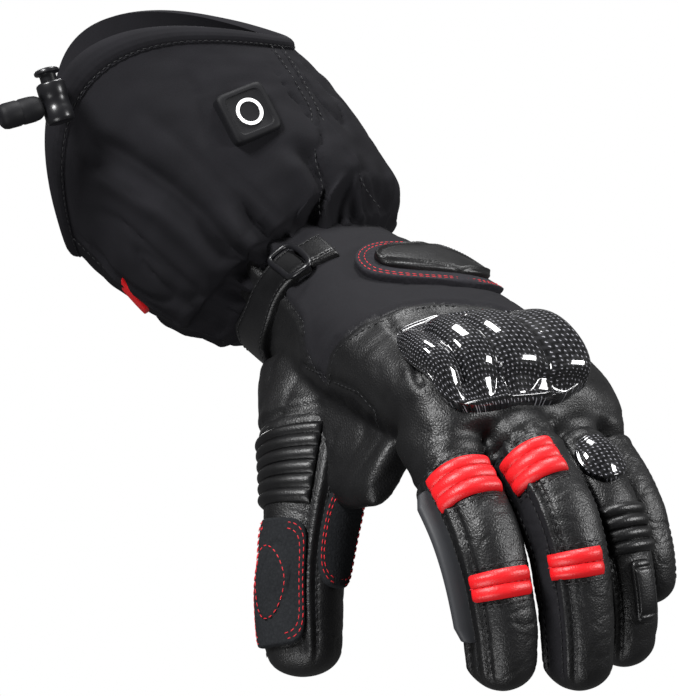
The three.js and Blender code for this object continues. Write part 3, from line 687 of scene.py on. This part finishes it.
def cuff_ring(shares, sides, relief):
    """A closed hollow ring of the cuff, from the first share to the last and back inside."""
    u, t = np.meshgrid(turns(sides), shares)
    out = relief(u, t)
    outer = cuff.point(u, t, out)
    inner = cuff.point(u, t, np.minimum(out, 0) * 0.6 - CUFF_WALL)
    return loft(np.concatenate([outer, inner[::-1]]), loop=True)


shape = cuff_ring(np.linspace(hem_end * 0.97, 1.055, 135), 240, cuff_relief)
piece("cuff_shell", shape, SHELL, ["gauntlet_cuff"])
shape = cuff_ring(np.linspace(0, hem_end, 28), 380, hem_relief)
piece("cuff_hem_tunnel", shape, SHELL, ["cuff_hem"])
sew_tube("dark", cuff, [(0, hem_end * 0.93), (TAU, hem_end * 0.93)], 0.75, 900)
for places in CUFF_SEAMS[:3]:
    sew_tube("dark", cuff, np.array(places) + [3.4 / CUFF_RADIUS, 0], 0.9)


def tab_at(x, y, out):
    return cuff.point(3.05 + x * 0.07 + y * 0.09, 0.45 + y * 9 / cuff.length, out)


shape, _ = panel(tab_at, PANEL_THICKNESS, rim=0.7, columns=16, rows=30)
piece("seam_tab", shape, RED, ["cuff_tab"])

# Hand shell: palm, web and the digits' roots joined into one skin
PALM_GROOVES = [
    [
        (3.35, 0.58), (3.06, 0.59), (2.75, 0.62), (2.25, 0.64), (1.75, 0.63), (1.49, 0.655), (1.1, 0.70),
        (0.6, 0.66), (0.1, 0.6),
    ],
    [(3.35, 0.45), (3.30, 0.555), (3.38, 0.575)],
    [(2.85, 0.02), (2.98, 0.39), (3.17, 0.46), (3.43, 0.565)],
    [(3.32, 0.605), (3.25, 0.695), (3.40, 0.765), (4.11, 0.715)],
    [(2.30, 0.66), (2.42, 0.78), (2.72, 0.90)],
    [(0.2, 0.15), (0.1, 0.6), (0.15, 0.98)],
    [(4.0, 0.2), (4.4, 0.5), (5.2, 0.6), (5.6, 0.95)],
]
CLOTH_END = PALM_GROOVES[0][::-1]  # angles and shares where the back's stretch cloth meets the leather
CLOTH_SIDE = [(2.85, 0), (2.98, 0.39), (3.17, 0.46), (3.43, 0.565)]
SHELL_TOP = 26  # height at which the hand shell ends inside the cuff
ROOT_VOXEL = 1.7


def tube_skin(tube, begin, end, count):
    return loft([tube.point(turns(96), t) for t in np.linspace(begin, end, count)])


def joined_roots():
    """One voxel skin of the palm, the web and the digits' roots, as points in millimetres and faces."""
    parts = [tube_skin(palm, -0.2, 1, 70), tube_skin(web, 0, 1, 40)]
    parts += [tube_skin(tube, 0, starts[name] + 2 / tube.length, 16) for name, tube in digits.items()]
    points, faces, base = [], [], 0
    for part_points, part_faces in parts:
        faces += [tuple(k + base for k in f) for f in outwards(part_points, part_faces)]
        points.append(part_points * MM)
        base += len(part_points)
    mesh = bpy.data.meshes.new("roots")
    mesh.from_pydata(np.vstack(points).tolist(), [], faces)
    made = in_scene("roots", mesh)
    join = made.modifiers.new("join", "REMESH")
    join.mode = "VOXEL"
    join.voxel_size = ROOT_VOXEL * MM
    soften = made.modifiers.new("soften", "SMOOTH")
    soften.iterations = 14
    skin = as_built(made)
    bpy.data.objects.remove(made)
    points = np.empty(len(skin.vertices) * 3)
    skin.vertices.foreach_get("co", points)
    points = points.reshape(-1, 3) / MM
    return points, outwards(points, [tuple(face.vertices) for face in skin.polygons])


def nearest(points, samples):
    """How far each point is from the nearest sample."""
    tree = kdtree.KDTree(len(samples))
    for n, sample in enumerate(samples):
        tree.insert(sample, n)
    tree.balance()
    return np.array([tree.find(p)[2] for p in points.tolist()])


def normals_of(points, faces):
    corners = np.array([f[:3] for f in faces])
    a, b, c = (points[corners[:, n]] for n in range(3))
    face_normals = np.cross(b - a, c - a)
    total = np.zeros_like(points)
    for n in range(4):
        np.add.at(total, [f[n % len(f)] for f in faces], face_normals)
    return unit(total)


def hand_relief(points, u, t):
    """Seams that lie in grooves, soft lumps and creases."""
    samples = [palm.point(*spread(places, 220)) for places in PALM_GROOVES]
    for name, tube in digits.items():
        samples.append(tube.point(np.linspace(0, TAU, 160), starts[name] - 1.2 / tube.length))
    away = nearest(points, np.vstack(samples))
    relief = 0.5 * bell(away - 3.0, 2.2) - 1.0 * bell(away, 1.1)
    relief += 0.7 * lumps(points, 24, 2.2) + 0.35 * lumps(points, 9, 5.5)
    relief += 4 * np.clip(np.sin(u + 0.7), 0, 1) * (1 - step(t, -0.01, 0.07))
    return relief - 0.5 * wrinkles(points * [0.5, 0.5, 1.6], 15, 8.1)


def cloth_mask(u, t):
    """1 on the stretch cloth of the back of the hand."""
    end_angles, end_shares = zip(*CLOTH_END)
    side_angles, side_shares = zip(*CLOTH_SIDE)
    end = np.interp(u, end_angles, end_shares)
    side = np.interp(t, side_shares, side_angles)
    mask = (1 - step(t, end - 0.004, end + 0.004)) * (1 - step(u, side - 0.01, side + 0.01))
    return mask * step(u, 0.13, 0.17)


def open_places(points):
    """The points to take out: the end inside the cuff and the way into each digit."""
    gone = points[:, 2] > SHELL_TOP
    for name, tube in digits.items():
        start = starts[name]
        centre, along, x, y = (v[0] for v in tube.frame(np.array([start + 1.6 / tube.length])))
        wide, deep = tube.half_size(np.array([start]))
        local = points - centre
        inside = (local @ x / wide[0]) ** 2 + (local @ y / deep[0]) ** 2 < 0.78
        gone |= inside & (np.abs(local @ along) < 2.2)
    return gone


def walled(points, faces, out, gone):
    """The skin without its gone points, given a wall inwards and closed along its rims."""
    kept = [f for f in faces if not gone[list(f)].any()]
    used = np.unique(np.concatenate([np.array(f) for f in kept]))
    renamed = np.full(len(points), -1)
    renamed[used] = np.arange(len(used))
    count = len(used)
    outer = [tuple(int(renamed[k]) for k in f) for f in kept]
    edges = {(a, b) for face in outer for a, b in zip(face, face[1:] + face[:1])}
    rims = sorted((a, b) for a, b in edges if (b, a) not in edges)
    both = np.vstack([points[used], points[used] - out[used] * SKIN_WALL])
    inner = [tuple(k + count for k in reversed(face)) for face in outer]
    sides = [(b, a, a + count, b + count) for a, b in rims]
    return (both, outer + inner + sides), used


points, faces = joined_roots()
out = normals_of(points, faces)
u, t = palm.place(points)
u = np.mod(u, TAU)
points = points + out * hand_relief(points, u, t)[:, None]
shape, used = walled(points, faces, out, open_places(points))
cloth = np.tile(cloth_mask(u, t)[used], 2)
piece("hand_body", shape, BLACK, ["hand_shell"], cloth=cloth)
for places in PALM_GROOVES[:5]:
    sew_tube("dark", palm, np.array(places) + [0, 0.022], 0.35)

# Digits: hollow, with sewn side seams, stretch cloth between the fingers and creased leather
DIGIT_SEAMS = {  # the angles of each digit's sewn lines
    "index": [0.42, -0.55, 3.02, 3.75],
    "middle": [0.42, -0.55, 2.78, 3.70],
    "ring": [0.42, -0.55, 2.78, 3.70],
    "little": [0.42, -0.55, 2.78, 3.70],
    "thumb": [0.55, 5.6, 2.62, 4.75],
}
DIGIT_RADIUS = 12.5  # turns an angle on a digit into millimetres
DIGIT_SIDES = 130


def tip_fade(t, length):
    """1 along a digit and 0 at its tip."""
    return 1 - step(t, 1 - 9 / length, 1 - 2 / length)


def digit_relief(name, tube, u, t, start):
    """Soft lumps, fine creases and seam ridges, with the start tucked into the hand shell."""
    length = tube.length
    seed = len(name)
    relief = 0.5 * lumps(tube.point(u, t), 12, 4.4)
    relief -= 0.2 * wrinkles(on_drum(u, t, 15 / 16, length / 4.5), 1, 6.0 + seed, 7)
    relief -= 0.22 * wrinkles(on_drum(u, t, 15 / 22, length / 9), 1, 11.0 + seed, 7)
    for seam in DIGIT_SEAMS[name]:
        away = angle_from(seam, u) * DIGIT_RADIUS
        relief += 1.15 * bell(away, 1.15) - 0.5 * bell(np.abs(away) - 2.6, 0.9)
    relief *= tip_fade(t, length)
    tucked = -1.5 * (1 - step(t, start, start + 3.2 / length))
    return relief + tucked + 0.5 * bell((t - start) * length - 5, 1.6)


def finger_cloth(name, u, t, length):
    """1 on the stretch cloth at a finger's sides. The index finger has it on one side."""
    side = np.cos(u - 0.06)
    if name == "index":
        side = side * (np.cos(u) > 0)
    return step(np.abs(side) * (np.abs(np.sin(u)) < 0.5), 0.9, 0.94) * tip_fade(t, length)


def digit_shape(name):
    """A digit's closed hollow skin and its cloth mask."""
    outer, inner = digits[name], digit_tube(name, FINGER_WALL)
    length = outer.length
    start = starts[name] - 1.5 / length

    def tip(end):
        return end - TIP_LENGTH / length * (1 - np.sin(np.linspace(0, 1, 26)[1:] * BACK))

    outer_end, inner_end = 1 - TIP_LENGTH / length, 1 - (TIP_LENGTH + 3) / length
    outer_shares = np.append(np.linspace(start, outer_end, 125), tip(0.9999))
    inner_shares = np.append(np.linspace(start, inner_end, 20), tip(1 - FINGER_WALL / length))
    u, t = np.meshgrid(turns(DIGIT_SIDES), outer_shares)
    skin = outer.point(u, t, digit_relief(name, outer, u, t, start))
    lining = inner.point(*np.meshgrid(u[0], inner_shares))
    cloth = np.zeros_like(u) if name == "thumb" else finger_cloth(name, u, t, length)
    no_cloth = np.zeros(len(inner_shares) * DIGIT_SIDES + 2)
    return loft(np.concatenate([skin[::-1], lining])), np.append(cloth[::-1], no_cloth)


for name, tube in digits.items():
    node = "thumb" if name == "thumb" else name + "_finger"
    shape, cloth = digit_shape(name)
    piece(node + "_leather", shape, BLACK, [node], cloth=cloth)
    begin, end = starts[name] + 5 / tube.length, 1 - 9 / tube.length
    for seam in DIGIT_SEAMS[name]:
        for side in (-2.4 / DIGIT_RADIUS, 2.4 / DIGIT_RADIUS):
            sew_tube("dark", tube, [(seam + side, begin), (seam + side, end)], 0.2)

# Red padded bars, sewn into ribs
BAR_THICKNESS = PADDING * 0.6
BARS = [  # node, finger, start and length along it, angle and half angle round it, ribs
    ("index_bar_upper", "index", 24.5, 13.5, 2.2, 0.95, 3),
    ("index_bar_lower", "index", 60, 8.5, 2.16, 0.88, 2),
    ("middle_bar_upper", "middle", 26, 13.5, 2.4, 0.8, 3),
    ("middle_bar_lower", "middle", 61, 8, 2.28, 0.75, 2),
]
across = np.linspace(-1, 1, 60)
for name, finger, begin, length, angle, half, ribs in BARS:
    middle = begin + length / 2
    at = on_tube(digits[finger], angle, middle, half, length / 2)
    shape, _ = panel(at, BAR_THICKNESS, height=ribbed(ribs, 0.45), rim=2.0, columns=50, rows=64)
    piece(name + "_pad", shape, RED, [name])
    edge_at = on_tube(digits[finger], angle, middle, half, length / 2 + 1.5)
    for y in (-1, 1):
        sew("dark", edge_at, across * 0.98, y, 0.55)
    for rib in range(1, ribs):
        sew("bars", at, across * 0.95, rib * 2 / ribs - 1, GAP + BAR_THICKNESS * 0.48)

# Ribbed stretch panels
ACCORDIONS = [  # node, digit, start and length along it, angle and half angle round it, ribs
    ("thumb_accordion", "thumb", 35, 28, 3.65, 0.85, 6),
    ("ring_accordion", "ring", 50, 15, BACK + 0.2, 0.8, 4),
]
for name, finger, begin, length, angle, half, ribs in ACCORDIONS:
    at = on_tube(digits[finger], angle, begin + length / 2, half, length / 2)
    shape, _ = panel(at, PADDING * 0.58, height=ribbed(ribs), rim=2.4, rows=110)
    piece(name + "_ribs", shape, SMOOTH_BLACK, [name])


# Ring finger: small hard oval and embossed slider
def oval_rise(k, y, x):
    return 0.25 + 0.7 * domed(x, y, 0.7) + 0.12 * bell(np.hypot(x, y) - 0.9, 0.07)


def embossed(k, y, x):
    crown = 0.45 + 0.55 * (1 - np.abs(k) ** 4) * (1 - np.abs(y) ** 4)
    return crown - 0.3 * bell(np.maximum(np.abs(k), np.abs(y)) - 0.72, 0.06)


oval_at = on_tube(digits["ring"], BACK + 0.25, 35, 0.72, 8.5)
shape, uv = panel(oval_at, PADDING * 1.4, soft_corners(2), oval_rise, rim=0.9)
piece("ring_guard_oval", shape, CARBON, ["ring_guard"], uv=uv)
slider_at = on_tube(digits["ring"], BACK + 0.2, 76, 0.36, 9)
shape, _ = panel(slider_at, PADDING * 0.7, soft_corners(4), embossed)
piece("ring_slider_leather", shape, SMOOTH_BLACK, ["ring_slider"])


# Sewn patches on the thumb, the crotch and the heel of the palm
def thumb_edge(y):
    half = (1 - np.abs(y) ** 5) ** 0.2
    return -half, half * (0.72 + 0.28 * np.clip(y * 3, -1, 1))


def oval_groove(k, y, x):
    return 1 - 0.35 * bell(np.hypot(k / 0.55, y / 0.6) - 1, 0.07)


def patch(name, node, at, edge, material, thread, insets, height=flat, rows=60):
    shape, _ = panel(at, PANEL_THICKNESS, edge, height, rows=rows)
    piece(name, shape, material, [node])
    sew_edge(thread, at, edge, insets, GAP + PANEL_THICKNESS)


thumb = digits["thumb"]
thumb_at = on_tube(thumb, 3.55, 91, 0.85, 22.5)
crotch_at = on_tube(thumb, 1.85, 73, 0.58, 20)
heel_at = on_tube(palm, -1.15, 0.5 * palm.length, 0.6, 24)
patch("thumb_patch_suede", "thumb_patch", thumb_at, thumb_edge, SUEDE, "red", (0.93, 0.84), oval_groove, 70)
patch("crotch_patch_suede", "crotch_patch", crotch_at, soft_corners(3), SUEDE, "red", (0.93, 0.83))
patch("palm_patch_suede", "palm_patch", heel_at, soft_corners(3.5), SUEDE, "dark", (0.94,))
circle = np.linspace(0, TAU, 120)
sew("red", thumb_at, 0.5 * np.cos(circle), 0.56 * np.sin(circle), GAP + PANEL_THICKNESS)

# Wiper blade on the index finger
WIPER_ANGLE = 3.4
WIPER_MIDDLE = 54
WIPER_HALF_LENGTH = 27
WIPER_HALF_WIDTH = 1.6
WIPER_HEIGHT = 4.95


def wiper_at(x, y, out):
    index = digits["index"]
    turn = x * WIPER_HALF_WIDTH / DIGIT_HALVES["index"][0]
    return index.point(WIPER_ANGLE + turn, (WIPER_MIDDLE + y * WIPER_HALF_LENGTH) / index.length, out)


def tapered(k, y, x):
    return (0.55 + 0.45 * np.clip((1 - np.abs(y)) * 5, 0, 1)) * (1 - 0.25 * k * k)


shape, _ = panel(wiper_at, WIPER_HEIGHT, height=tapered, columns=16, rows=90, rim=0.9)
piece("wiper_blade_rubber", shape, WIPER, ["wiper_blade"])

# Knuckle guard: one moulding with four domes, stepping down past the second and the third
KNUCKLES = [(2.36, 0.19), (2.05, 0.19), (1.74, 0.20), (1.45, 0.19)]  # angles and half widths in angle
GUARD_STEPS = [1.90, 1.60, 1.33]
GUARD_MIDDLE = 1.905
GUARD_HALF = 0.68


def guard_rise(k, y, x):
    u = GUARD_MIDDLE + x * GUARD_HALF
    domes = np.zeros_like(u)
    for angle, width in KNUCKLES:
        domes += np.clip(1 - ((u - angle) / width) ** 2 - (y / 0.9) ** 2, 0, 1) ** 2.8
    high = GUARD_THICKNESS + GUARD_DOME * np.clip(domes, 0, 1) ** 0.25 * (1 - np.abs(y) ** 4)
    for edge in GUARD_STEPS:
        bent = u - edge + 0.05 * y
        high += 2.2 * step(bent, -0.008, 0.008) * bell(bent, 0.09) * (1 - y**4)
    high += 0.5 * bell(np.maximum(np.abs(k), np.abs(y)) - 0.94, 0.025)
    return high / GUARD_THICKNESS * (1 - 0.03 * np.abs(x))


guard_at = on_tube(palm, GUARD_MIDDLE, 0.86 * palm.length, GUARD_HALF, 20)
shape, uv = panel(guard_at, GUARD_THICKNESS, soft_corners(3.4), guard_rise, 210, 80, 1.4)
piece("knuckle_guard_carbon", shape, CARBON, ["knuckle_guard"], uv=uv, crease=70)


# Armour patch on the back of the wrist and its raised pad
def armour_edge(y):
    half = (1 - np.abs(y) ** 2.2) ** 0.45
    return -half, half


def pad_rise(k, y, x):
    return 0.3 + 0.32 * domed(x, y, 0.6) + 0.25 * bell(np.hypot(k, y) - 0.97, 0.05)


ARMOUR_ANGLE, ARMOUR_MIDDLE = 1.38, 0.41 * palm.length
armour_at = on_tube(palm, ARMOUR_ANGLE, ARMOUR_MIDDLE, 0.66, 21)
patch("armour_patch_cloth", "wrist_armour", armour_at, armour_edge, ARMOUR, "red", (0.93, 0.85))
pad_at = on_tube(palm, ARMOUR_ANGLE, ARMOUR_MIDDLE, 0.48, 13, PANEL_THICKNESS + GAP)
shape, _ = panel(pad_at, PADDING * 1.6, armour_edge, pad_rise)
piece("wrist_pad_leather", shape, SMOOTH_BLACK, ["wrist_pad"])


# Power button: bevelled square plate with a plain white ring mark
def rounded_square(half, corner, count=96):
    c, s = np.cos(turns(count)), np.sin(turns(count))
    power = 2 / max(2.0, half / corner * 1.1)
    return np.stack([np.sign(c) * np.abs(c) ** power, np.sign(s) * np.abs(s) ** power], -1) * half


def flat_circle(radius, count=96):
    return np.stack([np.cos(turns(count)), np.sin(turns(count))], -1) * radius


BUTTON_ANGLE, BUTTON_SHARE = 1.38, 0.43
seat = cuff.point(BUTTON_ANGLE, BUTTON_SHARE)
left, right = (cuff.point(BUTTON_ANGLE + turn, BUTTON_SHARE) for turn in (-0.02, 0.02))
button_x = unit(right - left)
centre, way, _, _ = (v[0] for v in cuff.frame(np.array([BUTTON_SHARE])))
button_out = unit(np.cross(button_x, way))
button_out *= np.sign(button_out @ (seat - centre))
button_y = np.cross(button_out, button_x)


def on_button(flat_ring, height):
    return seat + flat_ring[:, :1] * button_x + flat_ring[:, 1:] * button_y + height * button_out


half_side = BUTTON_SIDE / 2
PLATE_PROFILE = [  # half side and height
    (half_side, -3),
    (half_side, BUTTON_HEIGHT - 1.7),
    (half_side - 0.25, BUTTON_HEIGHT - 0.8),
    (half_side - 0.85, BUTTON_HEIGHT - 0.2),
    (half_side - 1.75, BUTTON_HEIGHT),
    (half_side - 2.45, BUTTON_HEIGHT - 0.05),
    (half_side - 2.75, BUTTON_HEIGHT - 0.5),
    (half_side - 3.05, BUTTON_HEIGHT - 0.65),
    (0.2, BUTTON_HEIGHT - 0.5),
]
rings = [on_button(rounded_square(half, 1.4), height) for half, height in PLATE_PROFILE]
piece("power_button_plate", loft(rings), RUBBER, ["power_button"], crease=40)
MARK_PROFILE = [(5.6, 3.9), (5.6, 4.4), (4.3, 4.4), (4.3, 3.9)]  # radius and height
rings = [on_button(flat_circle(radius), height) for radius, height in MARK_PROFILE]
piece("power_button_mark", loft(rings, loop=True), MARK, ["power_button"], crease=30)


# Wrist strap, its anchor and the ring that it runs through
STRAP_MIDDLE = 36
STRAP_CLIMB = 20


def strap_point(u, y, out):
    """A place that far across the strap, which climbs towards the cuff on the thumb's side."""
    middle = STRAP_MIDDLE - STRAP_CLIMB * np.clip((u - 2.3) / 1.25, 0, 1)
    return palm.point(u, (middle + y) / palm.length, out)


def strap_at(begin, end, half_width):
    return lambda x, y, out: strap_point(begin + (end - begin) * (x + 1) / 2, y * half_width, out)


def strap_rise(k, y, x):
    return 1 - 0.12 * bell(np.abs(y) - 0.8, 0.06)


strap = strap_at(2.45, 5.6, STRAP_WIDTH / 2)
shape, _ = panel(strap, STRAP_THICKNESS, height=strap_rise, columns=150, rows=24)
piece("wrist_strap_leather", shape, SMOOTH_BLACK, ["wrist_strap"])
anchor = strap_at(2.08, 2.42, STRAP_WIDTH / 2 - 2)
shape, _ = panel(anchor, STRAP_THICKNESS, height=strap_rise)
piece("strap_anchor_leather", shape, SMOOTH_BLACK, ["strap_anchor"])
for y in (-0.8, 0.8):
    sew("dark", strap, np.linspace(-0.99, 0.99, 300), y, GAP + STRAP_THICKNESS)
    sew("dark", anchor, np.linspace(-0.9, 0.9, 60), y, GAP + STRAP_THICKNESS)
for x in (-0.72, -0.3):
    sew("dark", anchor, x, np.linspace(-0.8, 0.8, 60), GAP + STRAP_THICKNESS)


def closed_bar(path, ups, wide, high, sides=20):
    """A bar of oval section along a closed path."""
    across = unit(np.cross(np.roll(path, -1, 0) - np.roll(path, 1, 0), ups))
    c, s = np.cos(turns(sides))[:, None], np.sin(turns(sides))[:, None]
    return loft([p + c * a * wide + s * b * high for p, a, b in zip(path, across, ups)], loop=True)


ring_flat = rounded_square(1, 0.25, 160)
ring_u = 2.56 + ring_flat[:, 0] * 0.16
ring_y = ring_flat[:, 1] * (STRAP_WIDTH / 2 + 1.6)
ring_path = strap_point(ring_u, ring_y, 3.6)
ring_ups = unit(strap_point(ring_u, ring_y, 4.6) - ring_path)
shape = closed_bar(ring_path, ring_ups, 1.2, 1.1)
piece("strap_ring_loop", shape, PLASTIC, ["strap_ring"])

# Drawcord, cord lock, plunger and pull, turned round their axes
CORD_ANGLE = 2.1
LOCK_AXIS = np.array([-0.06, -0.67, 0.74])
PULL_AXIS = np.array([-0.97, 0.22, 0.06])
lock_middle = cuff.point(CORD_ANGLE, hem_end / 2, HEM_SWELL + LOCK_RADIUS + 6)
cord_foot = cuff.point(CORD_ANGLE, hem_end / 2, HEM_SWELL)


def turned(profile, axis, sides=64):
    """A closed shape of revolution from a table of radius and height along the axis."""
    axis = unit(axis)
    x = unit(np.cross(axis, [0.3, 0.2, 0.9]))
    ring = np.cos(turns(sides))[:, None] * x + np.sin(turns(sides))[:, None] * np.cross(axis, x)
    return loft([lock_middle + axis * height + ring * max(radius, 0.02) for radius, height in profile])


top = LOCK_LENGTH / 2
well = LOCK_RADIUS - 2
floor = top - PLUNGER_TRAVEL - 6
BARREL = [
    (0, -top), (3.6, -top), (4.9, -top + 0.3), (5.4, -top + 1), (LOCK_RADIUS, -top + 1.8),
    (LOCK_RADIUS, -2.4), (5.3, -2), (5.3, 2), (LOCK_RADIUS, 2.4), (LOCK_RADIUS, top - 1),
    (5.4, top - 0.4), (4.8, top), (well, top), (well, floor), (0, floor),
]
piece("cord_lock_barrel", turned(BARREL, LOCK_AXIS), PLASTIC, ["cord_lock"], crease=40)
foot = floor + PLUNGER_TRAVEL + GAP
under = top + PLUNGER_TRAVEL + GAP
flange = LOCK_RADIUS * 0.88
PLUNGER = [
    (0, foot), (well - GAP, foot), (well - GAP, under - 0.4), (well, under),
    (flange - 0.3, under + 0.1), (flange, under + 0.4), (flange, under + 1.3),
    (flange - 0.4, under + 1.8), (flange - 1.2, under + 2.1), (2, under + 1.9), (0, under + 1.8),
]
shape = turned(PLUNGER, LOCK_AXIS)
piece("cord_lock_plunger", shape, PLASTIC, ["cord_plunger"], body="plunger", crease=40)
start = LOCK_RADIUS + GAP
PULL = [
    (0, 0), (3.0, 0), (3.9, 0.4), (4.6, 1.6), (PULL_RADIUS, 4), (PULL_RADIUS, 8), (4.75, 8.4),
    (4.75, 9.2), (PULL_RADIUS, 9.6), (PULL_RADIUS, PULL_LENGTH - 2.6), (4.6, PULL_LENGTH - 1.1),
    (3.6, PULL_LENGTH - 0.2), (2.6, PULL_LENGTH), (1.8, PULL_LENGTH - 0.5), (0, PULL_LENGTH - 0.9),
]
shape = turned([(radius, start + height) for radius, height in PULL], PULL_AXIS)
piece("cord_pull_end", shape, RUBBER, ["cord_pull"], crease=40)
cord_heights = np.linspace(0, CORD_SHOWN - 0.5, 60)
braid = [(CORD_RADIUS * (0.92 + 0.08 * math.cos(height * 5)), start + height) for height in cord_heights]
shape = turned([(0, start), *braid, (0, braid[-1][1])], unit(cord_foot - lock_middle), 24)
piece("drawcord_braid", shape, DARK_THREAD, ["drawcord"])

# One node tree sews every seam
STITCH_PITCH = 2.6
STITCH_LENGTH = 2.0


def stitch_tree():
    """Rows of oval stitches along polylines whose points carry an up direction."""
    tree = bpy.data.node_groups.new("stitches", "GeometryNodeTree")
    tree.interface.new_socket("Seams", in_out="INPUT", socket_type="NodeSocketGeometry")
    for name in ("Pitch", "Length", "Thickness"):
        tree.interface.new_socket(name, in_out="INPUT", socket_type="NodeSocketFloat")
    tree.interface.new_socket("Thread", in_out="INPUT", socket_type="NodeSocketMaterial")
    tree.interface.new_socket("Stitches", in_out="OUTPUT", socket_type="NodeSocketGeometry")

    def node(kind, settings, **links):
        made = tree.nodes.new(kind)
        for key, value in settings.items():
            setattr(made, key, value)
        for key, value in links.items():
            target = made.inputs[key.replace("_", " ")]
            if isinstance(value, bpy.types.NodeSocket):
                tree.links.new(value, target)
            else:
                target.default_value = value
        return made.outputs[0] if len(made.outputs) == 1 else made.outputs

    given = node("NodeGroupInput", {})
    curve = node("GeometryNodeMeshToCurve", {}, Mesh=given["Seams"])
    spaced = node("GeometryNodeResampleCurve", {"mode": "LENGTH"}, Curve=curve, Length=given["Pitch"])
    tangent = node("GeometryNodeInputTangent", {})
    up = node("GeometryNodeInputNamedAttribute", {"data_type": "FLOAT_VECTOR"}, Name="up")[0]
    lie = node("FunctionNodeAlignRotationToVector", {"axis": "X"}, Vector=tangent)
    standing = {"axis": "Z", "pivot_axis": "X"}
    stand = node("FunctionNodeAlignRotationToVector", standing, Rotation=lie, Vector=up)
    bead = node("GeometryNodeMeshUVSphere", {}, Segments=6, Rings=4, Radius=0.5)[0]
    thickness = given["Thickness"]
    size = node("ShaderNodeCombineXYZ", {}, X=given["Length"], Y=thickness, Z=thickness)
    sewn = node(
        "GeometryNodeInstanceOnPoints", {}, Points=spaced, Instance=bead, Rotation=stand, Scale=size,
    )
    real = node("GeometryNodeRealizeInstances", {}, Geometry=sewn)
    smooth = node("GeometryNodeSetShadeSmooth", {}, Geometry=real)
    done = node("GeometryNodeSetMaterial", {}, Geometry=smooth, Material=given["Thread"])
    node("NodeGroupOutput", {}, Stitches=done)
    return tree


STITCHES = stitch_tree()


def sew_all(name, thread, material, nodes, thickness):
    """One piece of all the stitches in a thread."""
    mesh = bpy.data.meshes.new(name)
    points, edges, base = [], [], 0
    for row, _ in seams[thread]:
        points += (row * MM).tolist()
        edges += [(base + k, base + k + 1) for k in range(len(row) - 1)]
        base += len(row)
    mesh.from_pydata(points, edges, [])
    layer = mesh.attributes.new("up", "FLOAT_VECTOR", "POINT")
    ups = np.vstack([row_ups for _, row_ups in seams[thread]])
    layer.data.foreach_set("vector", ups.astype(np.float32).ravel())
    made = in_scene(name, mesh)
    sewing = made.modifiers.new("stitches", "NODES")
    sewing.node_group = STITCHES
    items = STITCHES.interface.items_tree
    sockets = {item.name: item.identifier for item in items if item.in_out == "INPUT"}
    sewing[sockets["Pitch"]] = STITCH_PITCH * MM
    sewing[sockets["Length"]] = STITCH_LENGTH * MM
    sewing[sockets["Thickness"]] = thickness * MM
    sewing[sockets["Thread"]] = material
    sewn = as_built(made)
    made.modifiers.clear()
    made.data = sewn
    return declare(made, nodes)


red_nodes = ["wrist_armour", "thumb_patch", "crotch_patch"]
bar_nodes = [bar[0] for bar in BARS]
dark_nodes = ["hand_shell", "gauntlet_cuff", "cuff_hem"]
sew_all("stitches_red", "red", RED_THREAD, red_nodes, 0.42)
sew_all("stitches_bars", "bars", RED_THREAD, bar_nodes, 0.4)
sew_all("stitches_dark", "dark", DARK_THREAD, dark_nodes, 0.45)

# Camera
RIGHT = Vector((0.791, -0.259, -0.555))
UP = Vector((0.174, -0.773, 0.610))
TOWARDS = Vector((-0.587, -0.579, -0.566))
CAMERA_PLACE = Vector((-0.4257, -0.4199, -0.4285))
PICTURE = (679, 696)
PICTURE_MIDDLE = (349.5, 326.3)
FOCAL_PIXELS = 1777.8
SENSOR = 36

scene = bpy.context.scene
camera = in_scene("camera", bpy.data.cameras.new("camera"))
camera.matrix_world = Matrix.Translation(CAMERA_PLACE) @ Matrix((RIGHT, UP, TOWARDS)).transposed().to_4x4()
camera.data.sensor_width = SENSOR
camera.data.lens = FOCAL_PIXELS * SENSOR / PICTURE[1]
camera.data.shift_x = (PICTURE[0] / 2 - PICTURE_MIDDLE[0]) / PICTURE[1]
camera.data.shift_y = (PICTURE_MIDDLE[1] - PICTURE[1] / 2) / PICTURE[1]
camera.data.clip_start = 0.01
scene.camera = camera

# Light: a white backdrop that is dim to all but the camera, and area lamps
world = bpy.data.worlds.new("studio")
world.use_nodes = True
scene.world = world
backdrop = world.node_tree.nodes["Background"]
backdrop.inputs["Color"].default_value = (1, 1, 1, 1)
seen = shader_node(world.node_tree, "LightPath", {}, {}, "Is Camera Ray")
world.node_tree.links.new((seen * 0.86 + 0.14).socket, backdrop.inputs["Strength"])

GLOVE_MIDDLE = Vector((-0.03, -0.02, -0.02))
LAMPS = [  # name, right, up and towards the camera in metres, size in metres, power in watts
    ("key", -0.50, 0.70, 0.60, 0.26, 22),
    ("strip", 0.80, 0.25, 0.25, 0.22, 7),
    ("top", 0.15, 0.95, -0.10, 0.30, 11),
    ("low", -0.25, -0.60, 0.70, 0.40, 6),
    ("far", -0.20, 0.30, -1.00, 0.40, 5),
]
for name, right, up, towards, size, power in LAMPS:
    lamp = in_scene(name, bpy.data.lights.new(name, "AREA"))
    lamp.data.size = size
    lamp.data.energy = power
    lamp.location = GLOVE_MIDDLE + RIGHT * right + UP * up + TOWARDS * towards
    lamp.rotation_euler = (GLOVE_MIDDLE - lamp.location).to_track_quat("-Z", "Y").to_euler()

scene.view_settings.view_transform = "Standard"
